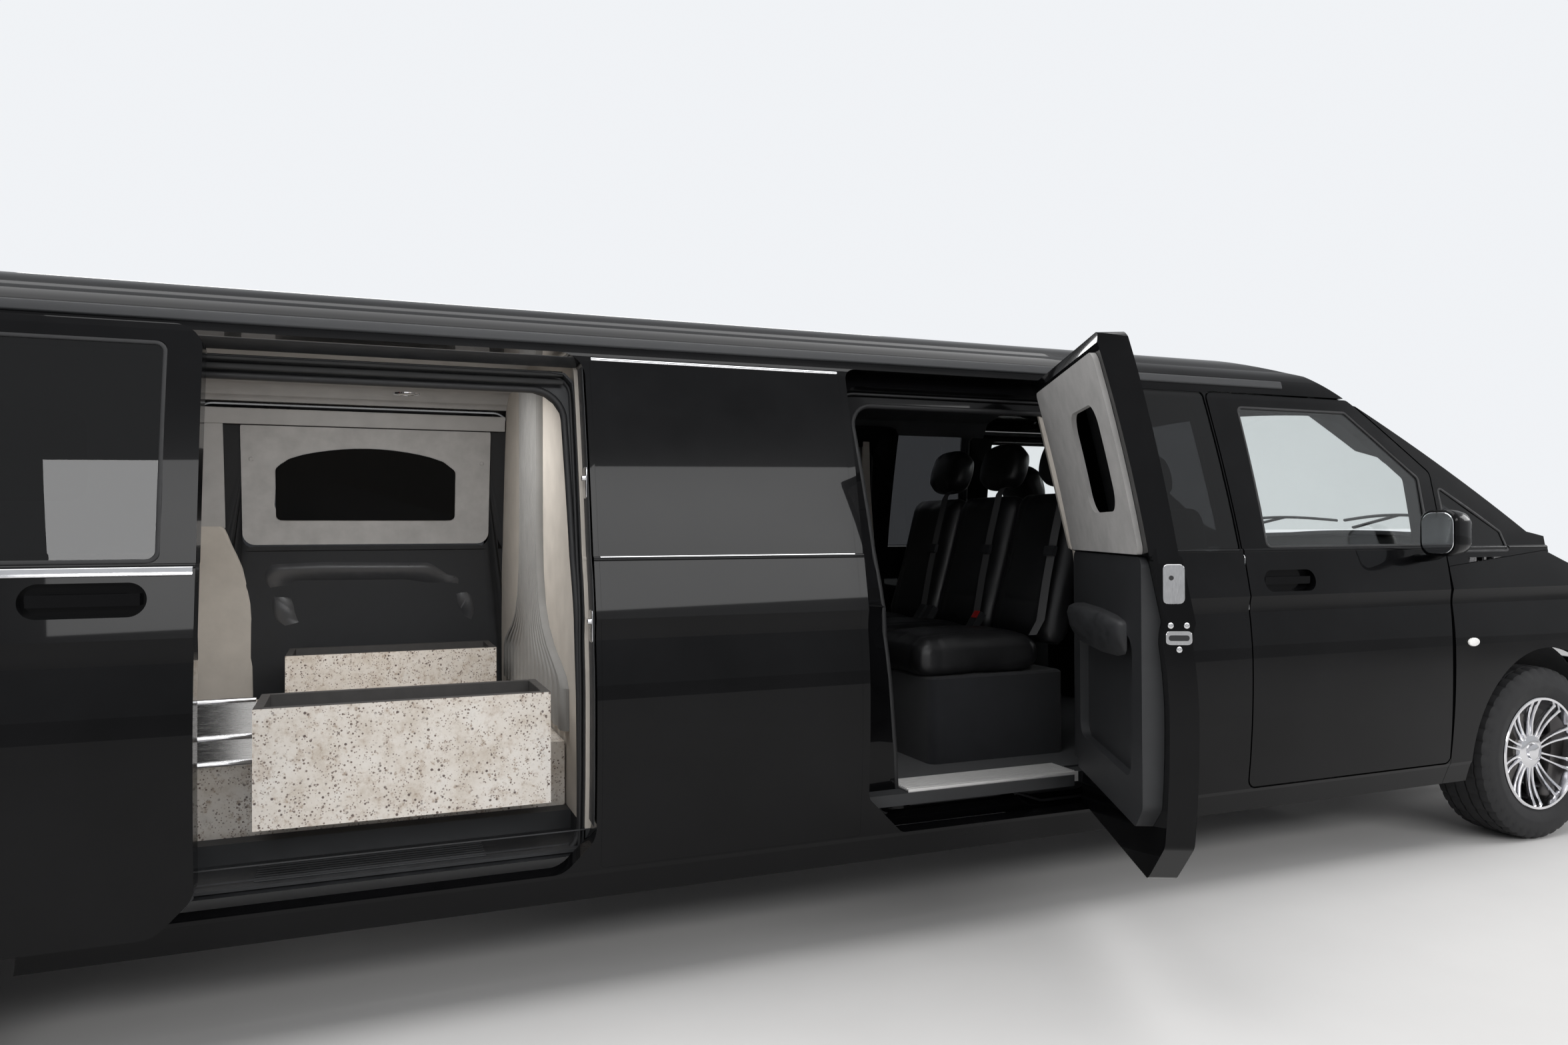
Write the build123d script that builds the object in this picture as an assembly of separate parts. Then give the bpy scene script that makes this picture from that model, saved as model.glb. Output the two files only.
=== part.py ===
from build123d import *
import os

# A long hearse: a van body with two stretched side bays, an open rear passenger door on the right, a
# sliding door slid back on the right, and a casket deck with two flower trays behind a partition.
# Frame: +X forward, +Y left, +Z up, in millimetres; origin on the ground, on the centreline, at half the
# length.

os.makedirs("parts", exist_ok=True)

# Driving dimensions of the whole vehicle
WHEELBASE = 5420
FRONT_OVERHANG = 895
REAR_OVERHANG = 1046
HALF_WIDTH = 966
ROOF_Z = 1897
SILL_Z = 262
SKIRT_Z = 205
DOOR_Z = 350
BELT_Z = 1155
GUTTER_Z = 1712
NOSE = (FRONT_OVERHANG + WHEELBASE + REAR_OVERHANG) / 2
FRONT_AXLE = NOSE - FRONT_OVERHANG
REAR_AXLE = FRONT_AXLE - WHEELBASE
TAIL = REAR_AXLE - REAR_OVERHANG

# Walls and gaps
WALL = 70
SKIN = 18
BUMPER_SKIN = 25
LAMP_DEPTH = 60
SHUT_GAP = 6
SEAT_GAP = 0.3
INNER_GAP = 0.6
GLASS = 5
GLASS_INSET = 4
TRIM = 14
DEEP_TRIM = 54
BEYOND = HALF_WIDTH + 334
ABOVE = ROOF_Z + 300

# Stations along the side, measured back from the front axle
DOOR_FRONT = -530
DOOR_REAR = -1520
PANE_REAR = -2050
REAR_DOOR_REAR = -2960
MID_FRONT = -2990
MID_REAR = -3740
SLIDE_FRONT = -3760
SLIDE_REAR = -4890
SLIDE_TRAVEL = 900
SLIDE_OUT = 110
WINDOW_LOW = BELT_Z + 8
WINDOW_HIGH = GUTTER_Z - 44

# Door hinges: vertical pin, rolled front edge of the door about it
HINGE_Y = HALF_WIDTH - 40
HINGE_ROLL = 70
HINGE_HEIGHTS = (470, 960)
HINGE_PIN_R = 10
HINGE_LEAF = 24
HINGE_ARM = 12
HINGE_REACH = 72
HINGE_NOTCH = 35
REAR_DOOR_OPEN = 64

# Door handles: a recessed oval dish with a grip bar across it
DISH_LENGTH = 236
DISH_HEIGHT = 74
DISH_Y = HALF_WIDTH - 50
GRIP_Y = (HALF_WIDTH - 42, HALF_WIDTH - 27)
GRIP_HEIGHT = 26

# Wheels and axles
TYRE_R = 339.5
TYRE_W = 225
SIDEWALL = 117.5
RIM_R = TYRE_R - SIDEWALL
TRACK_Y = HALF_WIDTH - 138
ARCH_R = TYRE_R + 65.5
ARCH_Z = TYRE_R + 15.5
HUB_R = 62
DISC_R = 150
HUB_FACE = TRACK_Y + TYRE_W / 2 - 68
SPOKES = 10

# Load floor, casket deck and flower trays
FLOOR_Z = 440
FLOOR_T = 36
FLOOR_UNDER = FLOOR_Z - FLOOR_T
DECK_Y = 610
DECK_TOP = 623
DECK_FRONT = -3775
RAIL_Y = 250
RAIL_WIDTH = 18
RAIL_HEIGHT = 16
TRAY_X = (-4564, -3854)
TRAY_DEPTH = 262
TRAY_Z = (510, 803)
TRAY_WALL = 20
TRAY_TRAVEL = 238
TRAY_ROOM = 10
PARTITION_X = -3740
PARTITION_T = 30
WELL_Y = 660
WELL_DEPTH = 60
WELL_T = 8

# Seats
SEAT_RAKE = 16
BENCH_X = -2110
BENCH_TOP = 860
BENCH_SEATS = 3
BENCH_PITCH = 413
CHAIR_X = -1250
CHAIR_Y = HALF_WIDTH - 566
CHAIR_TOP = 800
CHAIR_WIDTH = 500


def at_front(x):
    """Turn a station measured from the front axle into the vehicle frame."""
    return FRONT_AXLE + x


# Cross-section of the body: half width, height, outward bow to the next point, and how a wall thickness
# moves the point inward and down
SECTION = (
    (HALF_WIDTH - 81, SKIRT_Z, 0, 1, 0),
    (HALF_WIDTH - 66, SKIRT_Z + 45, 0, 1, 0),
    (HALF_WIDTH - 34, DOOR_Z - 18, 0, 1, 0),
    (HALF_WIDTH - 26, DOOR_Z - 5, 8, 1, 0),
    (HALF_WIDTH, 790, 2, 1, 0),
    (HALF_WIDTH - 13, 945, -2, 1, 0),
    (HALF_WIDTH - 6, 1000, 0, 1, 0),
    (HALF_WIDTH - 36, BELT_Z - 5, 4, 1, 0),
    (HALF_WIDTH - 45, BELT_Z + 7, 7, 1, 0),
    (HALF_WIDTH - 160, GUTTER_Z - 17, 0, 1, 0.2),
    (HALF_WIDTH - 166, GUTTER_Z - 2, 16, 0.95, 0.35),
    (HALF_WIDTH - 231, ROOF_Z - 85, 14, 0.6, 0.8),
    (HALF_WIDTH - 366, ROOF_Z - 35, 8.25, 0.3, 1),
    (0, ROOF_Z, 0, 0, 1),
)
# Centreline profile of the nose: distance ahead of the front axle, height, bow, inward and down shares
NOSE_LINE = (
    (FRONT_OVERHANG - 115, 150, 0, 1, 0),
    (FRONT_OVERHANG - 15, 330, 6, 1, 0),
    (FRONT_OVERHANG, 560, 3, 1, 0),
    (FRONT_OVERHANG - 33, 800, 3, 1, 0),
    (FRONT_OVERHANG - 95, 985, 12, 0.9, 0.3),
    (FRONT_OVERHANG - 205, 1050, 14, 0.3, 1),
    (80, 1215, 14, 0, 1),
    (-930, ROOF_Z - 97, 24, 0.4, 0.9),
    (-1900, ROOF_Z + 0.2, 0, 0, 1),
)
# Plan of the front corner: distance ahead of the front axle, half width, bow, inward x and y shares
NOSE_PLAN = (
    (150, HALF_WIDTH + 0.5, 24, 0, 1),
    (600, HALF_WIDTH - 86, 26, 0.3, 0.9),
    (FRONT_OVERHANG - 105, HALF_WIDTH - 276, 34, 0.8, 0.5),
    (FRONT_OVERHANG + 5, 0, 0, 1, 0),
)
# Profile of the tail: distance ahead of the rearmost point, height, bow, forward and down shares
TAIL_LINE = (
    (30, 150, 0, 1, 0),
    (0, 330, 0, 1, 0),
    (0, 590, 0, 1, 0),
    (28, 640, 4, 1, 0),
    (48, BELT_Z - 5, 10, 1, 0),
    (150, GUTTER_Z - 12, 8, 0.9, 0.2),
    (205, ROOF_Z - 37, 6, 0.4, 0.9),
    (420, ROOF_Z + 1, 0, 0, 1),
)
# Plan of the rear corner: distance ahead of the rearmost point, half width, bow, forward and inward shares
TAIL_PLAN = (
    (620, HALF_WIDTH + 0.5, 14, 0, 1),
    (180, HALF_WIDTH - 36, 24, 0.5, 0.8),
    (30, HALF_WIDTH - 166, 10, 1, 0.3),
    (-1, 0, 0, 1, 0),
)


def curve(points, bows, side):
    """Join points by lines, or by arcs that stand out by their bow."""
    edges = []
    for start, end, bow in zip(points, points[1:], bows):
        if not bow:
            edges.append(Line(start, end))
            continue
        run, rise = end[0] - start[0], end[1] - start[1]
        length = (run * run + rise * rise) ** 0.5
        middle = (
            (start[0] + end[0]) / 2 + side * rise / length * bow,
            (start[1] + end[1]) / 2 - side * run / length * bow,
        )
        edges.append(ThreePointArc(start, middle, end))
    return edges


def closed(edges, *corners):
    """Close a curve through plain corners and fill it."""
    points = [edges[-1] @ 1, *[Vector(*corner) for corner in corners], edges[0] @ 0]
    points = [(point.X, point.Y) for point in points]
    sides = [Line(a, b) for a, b in zip(points, points[1:]) if a != b]
    return make_face(Wire([*edges, *sides]))


def profile(rows, side, depth, origin, forward):
    """A curve from a table, moved in by a wall thickness. forward is +1 or -1 along X."""
    points = [(origin + x - forward * a * depth, z - d * depth) for x, z, bow, a, d in rows]
    return curve(points, [row[2] for row in rows], side)


def both_sides(shape):
    """A left-hand cutter together with its mirror image."""
    return shape + mirror(shape, Plane.XZ)


def envelope(depth=0.0, low=SKIRT_Z):
    """The outer form of the body, or the same form a wall thickness further in."""
    left = [(y - a * depth, z - d * depth) for y, z, bow, a, d in SECTION]
    left[0] = (left[0][0], low)
    bows = [row[2] for row in SECTION]
    right = [(-y, z) for y, z in left][::-1]
    ring = closed([*curve(left, bows, 1), *curve(right, bows[-2::-1], 1)])
    margin = 60
    body = extrude(Plane.YZ.offset(TAIL - margin) * ring, amount=NOSE - TAIL + 2 * margin)

    over, under, ahead, wide = ABOVE + 300, 150, NOSE + 700, BEYOND - 100
    line = profile(NOSE_LINE, 1, depth, FRONT_AXLE, 1)
    back = line[-1].end_point().X
    bonnet_side = closed(line, (back, over), (ahead, over), (ahead, under))
    # The nose profile is swept round a far upright axis, which curves the bonnet and the screen in plan
    turn = Axis((at_front(-3500), 0, 0), (0, 0, 1))
    body -= revolve(Plane.XZ * bonnet_side, turn, 60).rotate(turn, -30)

    line = profile(NOSE_PLAN, -1, depth, FRONT_AXLE, 1)
    corner = closed(line, (ahead, 0), (ahead, wide), (line[0].start_point().X, wide))
    corner = extrude(corner, amount=over)
    body = body - corner - mirror(corner, Plane.XZ)

    behind = TAIL - 300
    line = profile(TAIL_LINE, -1, depth, TAIL, -1)
    rear = closed(line, (TAIL + TAIL_LINE[-1][0], over), (behind, over), (behind, under))
    body -= extrude(Plane.XZ.offset(-wide) * rear, amount=2 * wide)

    line = profile(TAIL_PLAN, 1, depth, TAIL, -1)
    corner = closed(line, (behind, 0), (behind, wide), (line[0].start_point().X, wide))
    corner = extrude(corner, amount=over)
    return body - corner - mirror(corner, Plane.XZ)


def box(x, y, z):
    """A box from three (low, high) pairs."""
    size = [high - low for low, high in (x, y, z)]
    return Pos(x[0], y[0], z[0]) * Box(*size, align=(Align.MIN, Align.MIN, Align.MIN))


def around(middle, half):
    """A (low, high) pair about a middle."""
    return (middle - half, middle + half)


def rod(centre, radius, length, direction="Z"):
    """A cylinder centred on a point, along a named axis."""
    turn = {"X": Rot(0, 90, 0), "Y": Rot(90, 0, 0), "Z": Rot(0, 0, 0)}[direction]
    return Pos(*centre) * turn * Cylinder(radius, length)


def plate(points, corner=0.0, grow=0.0):
    """A flat outline with rounded corners, facing up whichever way its points run."""
    points = list(points)
    turn = sum(a[0] * b[1] - b[0] * a[1] for a, b in zip(points, points[1:] + points[:1]))
    shape = Polygon(*points[:: 1 if turn > 0 else -1], align=None)
    if corner:
        shape = fillet(shape.vertices(), corner)
    return offset(shape, grow) if grow else shape


def outline(points, corner, grow=0.0):
    """A side-view outline with rounded corners; x is measured from the front axle."""
    return plate([(at_front(x), z) for x, z in points], corner, grow)


def window(front_low, front_high, rear_high, rear_low):
    """A side window between the belt and the gutter, from its four stations."""
    low, high = WINDOW_LOW, WINDOW_HIGH
    return ((front_low, low), (front_high, high), (rear_high, high), (rear_low, low))


def prism(shape, near=HALF_WIDTH - 316, far=BEYOND):
    """A left-hand prism across the body side."""
    return extrude(Plane.XZ.offset(-near) * shape, amount=near - far)


def mirrored(shape):
    """The same piece on the right-hand side."""
    flipped = [solid.mirror(Plane.XZ) for solid in shape.solids()]
    return flipped[0] if len(flipped) == 1 else Compound(children=flipped)


def save(node, *shapes):
    """Write one node: every solid of the shapes given."""
    kept = [solid for shape in shapes for solid in shape.solids()]
    export_step(kept[0] if len(kept) == 1 else Compound(children=kept), f"parts/{node}.step")


outer = envelope()
inner = envelope(WALL, 100)
shell = outer - inner
under_skin = envelope(SKIN + SEAT_GAP, 150)
glass_layer = envelope(GLASS_INSET) - envelope(GLASS_INSET + GLASS)
cabin = envelope(WALL + INNER_GAP, 100)
lining_layer = cabin - envelope(WALL + TRIM, 90)
side_room = box((TAIL - 100, NOSE + 100), (0, BEYOND), (0, ABOVE))
left_shell = shell & side_room
left_glass = glass_layer & side_room
left_lining = lining_layer & side_room

# Side-view outlines, x from the front axle
FRONT_DOOR = (
    (DOOR_FRONT, DOOR_Z),
    (DOOR_FRONT, GUTTER_Z - 272),
    (DOOR_FRONT - 350, GUTTER_Z),
    (DOOR_REAR - 46, GUTTER_Z),
    (DOOR_REAR, BELT_Z),
    (DOOR_REAR, DOOR_Z),
)
FRONT_WINDOW = (
    (DOOR_FRONT - 70, WINDOW_LOW),
    (DOOR_FRONT - 60, GUTTER_Z - 292),
    (DOOR_FRONT - 375, WINDOW_HIGH),
    (DOOR_REAR + 85, WINDOW_HIGH),
    (DOOR_REAR + 110, WINDOW_LOW),
)
REAR_DOOR = (
    (PANE_REAR, DOOR_Z),
    (PANE_REAR, GUTTER_Z),
    (REAR_DOOR_REAR, GUTTER_Z),
    (REAR_DOOR_REAR, DOOR_Z + 110),
    (REAR_DOOR_REAR + 110, DOOR_Z),
)
REAR_WINDOW = window(PANE_REAR - 70, PANE_REAR - 70, REAR_DOOR_REAR + 70, REAR_DOOR_REAR + 70)
# The rear doors are lined inside by an upper panel with a small window and a deep lower moulding
REAR_TRIM_UPPER = (
    (PANE_REAR - 62, BELT_Z + 10),
    (PANE_REAR - 62, GUTTER_Z - 44),
    (REAR_DOOR_REAR + 42, GUTTER_Z - 44),
    (REAR_DOOR_REAR + 42, BELT_Z + 10),
)
REAR_TRIM_WINDOW = (
    (PANE_REAR - 440, BELT_Z + 120),
    (PANE_REAR - 440, BELT_Z + 400),
    (REAR_DOOR_REAR + 160, BELT_Z + 400),
    (REAR_DOOR_REAR + 160, BELT_Z + 120),
)
REAR_TRIM_LOWER = (
    (PANE_REAR - 62, DOOR_Z + 130),
    (PANE_REAR - 62, BELT_Z + 4),
    (REAR_DOOR_REAR + 42, BELT_Z + 4),
    (REAR_DOOR_REAR + 42, DOOR_Z + 190),
    (REAR_DOOR_REAR + 110, DOOR_Z + 130),
)
REAR_POCKET = (
    (PANE_REAR - 150, DOOR_Z + 240),
    (PANE_REAR - 150, BELT_Z - 230),
    (REAR_DOOR_REAR + 130, BELT_Z - 200),
    (REAR_DOOR_REAR + 150, DOOR_Z + 240),
)
SLIDE_DOOR = (
    (SLIDE_FRONT - 80, DOOR_Z),
    (SLIDE_FRONT, DOOR_Z + 80),
    (SLIDE_FRONT, GUTTER_Z),
    (SLIDE_REAR, GUTTER_Z),
    (SLIDE_REAR, DOOR_Z),
)
SLIDE_WINDOW = window(SLIDE_FRONT - 70, SLIDE_FRONT - 70, SLIDE_REAR + 70, SLIDE_REAR + 70)
# The sliding doors are lined inside by an upper panel with a small arched window and a lower moulding
# with a pocket
SLIDE_TRIM_UPPER = (
    (SLIDE_FRONT - 70, BELT_Z + 30),
    (SLIDE_FRONT - 70, GUTTER_Z - 44),
    (SLIDE_REAR + 150, GUTTER_Z - 44),
    (SLIDE_REAR + 150, BELT_Z + 30),
)
SLIDE_TRIM_WINDOW = (
    (SLIDE_FRONT - 222, BELT_Z + 145),
    (SLIDE_FRONT - 235, BELT_Z + 345),
    ((SLIDE_FRONT + SLIDE_REAR) / 2, BELT_Z + 372),
    (SLIDE_REAR + 273, BELT_Z + 345),
    (SLIDE_REAR + 260, BELT_Z + 145),
)
SLIDE_TRIM_LOWER = (
    (SLIDE_FRONT - 70, DOOR_Z + 200),
    (SLIDE_FRONT - 70, BELT_Z + 24),
    (SLIDE_REAR + 150, BELT_Z + 24),
    (SLIDE_REAR + 150, DOOR_Z + 170),
)
SLIDE_POCKET = (
    (SLIDE_FRONT - 120, BELT_Z - 345),
    (SLIDE_FRONT - 150, BELT_Z - 60),
    (SLIDE_REAR + 300, BELT_Z - 60),
    (SLIDE_REAR + 180, BELT_Z - 190),
    (SLIDE_REAR + 200, BELT_Z - 345),
)
PANE = (
    (DOOR_REAR - 10, BELT_Z),
    (DOOR_REAR - 56, GUTTER_Z),
    (PANE_REAR + 8, GUTTER_Z),
    (PANE_REAR + 8, BELT_Z),
)
MID_PANEL = ((MID_FRONT, DOOR_Z), (MID_FRONT, GUTTER_Z), (MID_REAR, GUTTER_Z), (MID_REAR, DOOR_Z))
QUARTER_REAR = 276 - REAR_OVERHANG - WHEELBASE
QUARTER_PANE = window(SLIDE_REAR - 120, SLIDE_REAR - 120, QUARTER_REAR + 40, QUARTER_REAR)
SAIL = (
    (DOOR_FRONT + 26, BELT_Z - 17),
    (DOOR_FRONT + 26, BELT_Z + 240),
    (DOOR_FRONT + 340, BELT_Z + 60),
    (DOOR_FRONT + 370, BELT_Z - 17),
)
WING = (
    (DOOR_FRONT + SHUT_GAP, SILL_Z),
    (DOOR_FRONT + SHUT_GAP, BELT_Z - 70),
    (40, BELT_Z - 15),
    (300, BELT_Z - 120),
    (400, 950),
    (520, 620),
    (520, SILL_Z),
)
# Rear edge of each handle's dish: station and height
FRONT_HANDLE = (DOOR_REAR + 70, BELT_Z - 105)
REAR_HANDLE = (REAR_DOOR_REAR + 70, BELT_Z - 105)
SLIDE_HANDLE = (SLIDE_FRONT - 90 - DISH_LENGTH, BELT_Z - 70)


def leaf_place(hinge_x, z):
    """Where a side door's hinge stands: pin upright, body ahead of it, outboard to the left."""
    return Plane((hinge_x, HINGE_Y, z), x_dir=(1, 0, 0), z_dir=(0, 0, 1))


def rolled_corner(place, radius, reach, outboard=180, inboard=0):
    """The corner beyond a hinge pin that a rolled edge leaves free, along the whole shut line."""
    block = Pos(0, -inboard, -reach) * Box(
        radius + 20, outboard + inboard, 2 * reach, align=(Align.MIN, Align.MIN, Align.MIN)
    )
    return place.location * (block - Cylinder(radius, 2 * reach + 2))


def hinge_notch(place, roll, behind=30, deep=240):
    """The room that the door gives its hinge, open to the inside."""
    notch = Box(behind + roll + 20, deep, 2 * HINGE_NOTCH, align=(Align.MIN, Align.MAX, Align.CENTER))
    return place.location * Pos(-behind, HINGE_PIN_R + 2, 0) * notch


def body_leaf(place, roll, foot=28):
    """Lower knuckle and goose-necked arm of a hinge, on the body."""
    half, low, high = HINGE_ARM / 2, -HINGE_LEAF, -SEAT_GAP / 2
    end = roll + 22
    neck = box((-half, half), (-HINGE_REACH - half, 0), (low, high))
    neck += box((-half, end + half), (-HINGE_REACH - half, half - HINGE_REACH), (low, high))
    neck += box((end - half, end + half), (-HINGE_REACH - half, -foot), (low, high))
    return place.location * (neck + rod((0, 0, (low + high) / 2), HINGE_PIN_R, high - low))


def door_leaf(place, back=34):
    """Upper knuckle of a hinge and its arm, on the door."""
    low, high = SEAT_GAP / 2, HINGE_LEAF
    arm = box((-back, 0), (-HINGE_PIN_R, HINGE_PIN_R), (low, high))
    return place.location * (arm + rod((0, 0, (low + high) / 2), HINGE_PIN_R, high - low))


def swing_form(hinge_x, edge):
    """The form a door's free edge keeps to so that it swings clear: upright to the belt, then a cone."""
    low, high = [hinge_x - at_front(x) for x in edge]
    low += 1.5
    high = (high * high + (HINGE_Y - SECTION[9][0]) ** 2) ** 0.5 - 2
    rows = ((0, 0), (low, 0), (low, BELT_Z - 40), (high, GUTTER_Z), (high, ABOVE), (0, ABOVE))
    return Pos(hinge_x, HINGE_Y, 0) * revolve(Plane.XZ * plate(rows), Axis.Z, 360)


def with_handle(door, rear, z):
    """A door with the dish of its handle sunk in and the grip bar set across it."""
    low, high = at_front(rear), at_front(rear) + DISH_LENGTH
    door -= prism(Pos((low + high) / 2, z) * SlotOverall(DISH_LENGTH, DISH_HEIGHT), DISH_Y)
    reach, foot = 14, 26
    height = around(z, GRIP_HEIGHT / 2)
    door += box((low + reach, high - reach), GRIP_Y, height)
    for end in (low + reach, high - reach - foot):
        door += box((end, end + foot), (DISH_Y - 1, GRIP_Y[1]), height)
    return door


def hinged_door(points, opening, hinge_x, edge, handle):
    """A door slab with its window cut, its rolled edge, hinge leaves and handle; and its glass.

    edge gives the stations of the free edge at the belt and at the gutter.
    """
    places = [leaf_place(hinge_x, z) for z in HINGE_HEIGHTS]
    slab = left_shell & prism(outline(points, 28))
    slab -= rolled_corner(leaf_place(hinge_x, 1000), HINGE_ROLL, 1000)
    slab &= swing_form(hinge_x, edge)
    slab -= prism(outline(opening, 22))
    for place in places:
        slab -= hinge_notch(place, HINGE_ROLL)
    for place in places:
        slab += door_leaf(place)
    return with_handle(slab, *handle), left_glass & prism(outline(opening, 22, -SEAT_GAP))


def door_opening(points, hinge_x):
    """What a hinged door cuts from the body side."""
    cut = prism(outline(points, 28, SHUT_GAP))
    return cut - rolled_corner(leaf_place(hinge_x, 1000), HINGE_ROLL + SHUT_GAP, 1000)


front_hinge_x = at_front(DOOR_FRONT - HINGE_ROLL)
rear_hinge_x = at_front(PANE_REAR - HINGE_ROLL)

# Tail: bumper, tailgate and lamps take their room from the body
TAILGATE_Y = HALF_WIDTH - 176
TAILGATE_TOP_Y = TAILGATE_Y - 100
TAILGATE_Z = (600, 1790)
TAIL_DEPTH = 250
TAIL_ROLL = 60
TAIL_PIN = (TAIL + 188, 0, TAILGATE_Z[1] - TAIL_ROLL)
TAIL_HINGE_Y = 420
TAIL_WINDOW = ((TAILGATE_Y - 100, BELT_Z + 15), (TAILGATE_TOP_Y - 80, GUTTER_Z - 62))
TAIL_FRONT = TAIL + TAIL_DEPTH
BUMPER_TOP = TAILGATE_Z[0] - 10
LAMP_Y = HALF_WIDTH - 163
LAMP_Z = (640, 1210)


def symmetric(half):
    """The closed ring of points of an outline and its mirror image."""
    return [*half, *[(-y, z) for y, z in half[::-1]]]


# The tailgate keeps one width over the height that swings round its pins
tail_face = plate(symmetric([
    (TAILGATE_Y, TAILGATE_Z[0]),
    (TAILGATE_Y, BELT_Z - 5),
    (TAILGATE_TOP_Y, TAIL_PIN[2] - 70),
    (TAILGATE_TOP_Y, TAILGATE_Z[1]),
]))
tail_face = fillet([v for v in tail_face.vertices() if v.Y < TAIL_PIN[2]], 40)
behind_tail = TAIL - 80
tail_reach = TAIL_FRONT - behind_tail
tail_plane = Plane.YZ.offset(behind_tail)
tail_room = extrude(tail_plane * offset(tail_face, SHUT_GAP), amount=tail_reach)
tail_tool = extrude(tail_plane * tail_face, amount=tail_reach - SHUT_GAP)
tail_window = plate(symmetric(TAIL_WINDOW), 50)
rear_bumper_room = box((behind_tail, TAIL_FRONT), (-BEYOND, BEYOND), (0, BUMPER_TOP + SEAT_GAP))
lamp_block = box((behind_tail, TAIL_FRONT), (LAMP_Y, BEYOND), LAMP_Z)

# Nose: bonnet, screen, lamps, grille and bumper take their room from the body
BONNET_ROLL = 40
BONNET_REAR = 150
BONNET_PIN = (at_front(BONNET_REAR + BONNET_ROLL), 0, 1158)
BONNET_HINGE_Y = HALF_WIDTH - 366
BONNET_SKIN = 30
BONNET_Z = 935
COWL_Y = HALF_WIDTH - 224
SCREEN_LOW = 1228
SCREEN_HIGH = 1778
HEADER_X = at_front(DOOR_FRONT - 375)
BUMPER_Z = 640
BUMPER_REAR = 330
GRILLE_Y = 430
GRILLE_Z = (BUMPER_Z, 925)
GRILLE_SLOTS = 5
INTAKE_Z = (300, 470)


def tail_place(y):
    """A tailgate hinge: pin across the car, body above it, outboard to the rear."""
    return Plane((TAIL_PIN[0], y, TAIL_PIN[2]), x_dir=(0, 0, 1), z_dir=(0, -1, 0))


def bonnet_place(y):
    """A bonnet hinge: pin across the car, body behind it, outboard upward."""
    return Plane((BONNET_PIN[0], y, BONNET_PIN[2]), x_dir=(-1, 0, 0), z_dir=(0, 1, 0))


tail_room -= rolled_corner(tail_place(0), TAIL_ROLL + SHUT_GAP, HALF_WIDTH, 260)

# Plan of the bonnet: distance ahead of the front axle and half width
BONNET_PLAN = ((BONNET_REAR, COWL_Y), (700, 640), (860, 470), (960, 300))
bonnet_half = [(at_front(x), y) for x, y in BONNET_PLAN]
bonnet_face = plate([*bonnet_half, *[(x, -y) for x, y in bonnet_half[::-1]]])
bonnet_tool = extrude(Plane.XY.offset(BONNET_Z) * bonnet_face, amount=400)
bonnet_room = extrude(Plane.XY.offset(BONNET_Z - SHUT_GAP) * offset(bonnet_face, SHUT_GAP), amount=420)

screen_face = plate(symmetric([(775, SCREEN_LOW), (690, 1600), (628, SCREEN_HIGH)]), 45)
screen_room = extrude(Plane.YZ.offset(HEADER_X) * screen_face, amount=1200)
screen_tool = extrude(Plane.YZ.offset(HEADER_X + SEAT_GAP) * offset(screen_face, -SEAT_GAP), amount=1200)

LAMP = ((300, 1012), (560, 975), (900, 900), (900, 700), (760, 700), (470, 800))
ahead_of_nose = NOSE + 100
lamp_keep = box((FRONT_AXLE, ahead_of_nose), (GRILLE_Y + 12, BEYOND), (0, ABOVE))
lamp_tool = prism(outline(LAMP, 20), 0) & lamp_keep
nose_x = (at_front(600), ahead_of_nose)
grille_room = box(nose_x, around(0, GRILLE_Y), GRILLE_Z)
bumper_room = box((at_front(BUMPER_REAR), ahead_of_nose), (-BEYOND, BEYOND), (0, BUMPER_Z))
arch_front = rod((FRONT_AXLE, 900, ARCH_Z), ARCH_R, 700, "Y")
arch_rear = rod((REAR_AXLE, 900, ARCH_Z), ARCH_R, 700, "Y")

# The body side frame and the roof meet along these planes
FRAME_IN = HALF_WIDTH - 406
FRAME_TOP = GUTTER_Z + 60
PILLAR_LOW = BELT_Z - 37


def side_frame():
    """Pillars, sill, cantrail and rear quarter of the left side as one pressing, with its openings cut."""
    frame = left_shell & (
        box((TAIL - 50, at_front(DOOR_FRONT + 120)), (FRAME_IN, BEYOND), (SILL_Z, FRAME_TOP))
        + box((at_front(DOOR_FRONT - 300), at_front(60)), (FRAME_IN, BEYOND), (PILLAR_LOW, FRAME_TOP))
    )
    lower = box((at_front(DOOR_FRONT) - 10, NOSE), (FRAME_IN, BEYOND), (0, 1200))
    frame -= (outer - under_skin) & lower & prism(outline(WING, 10, 2))
    for cut in (
        door_opening(FRONT_DOOR, front_hinge_x),
        door_opening(REAR_DOOR, rear_hinge_x),
        prism(outline(SLIDE_DOOR, 60, SHUT_GAP)),
        prism(outline(MID_PANEL, 10, SEAT_GAP)),
        prism(outline(PANE, 14)),
        prism(outline(QUARTER_PANE, 30)),
        prism(outline(SAIL, 14)),
        arch_rear,
        tail_room,
        rear_bumper_room,
        screen_room,
        lamp_block,
    ):
        frame -= cut
    for hinge_x in (front_hinge_x, rear_hinge_x):
        for z in HINGE_HEIGHTS:
            frame += body_leaf(leaf_place(hinge_x, z), HINGE_ROLL)
    return frame


frame_left = side_frame()
save("side_frame_left", frame_left)
save("side_frame_right", mirrored(frame_left))

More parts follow.
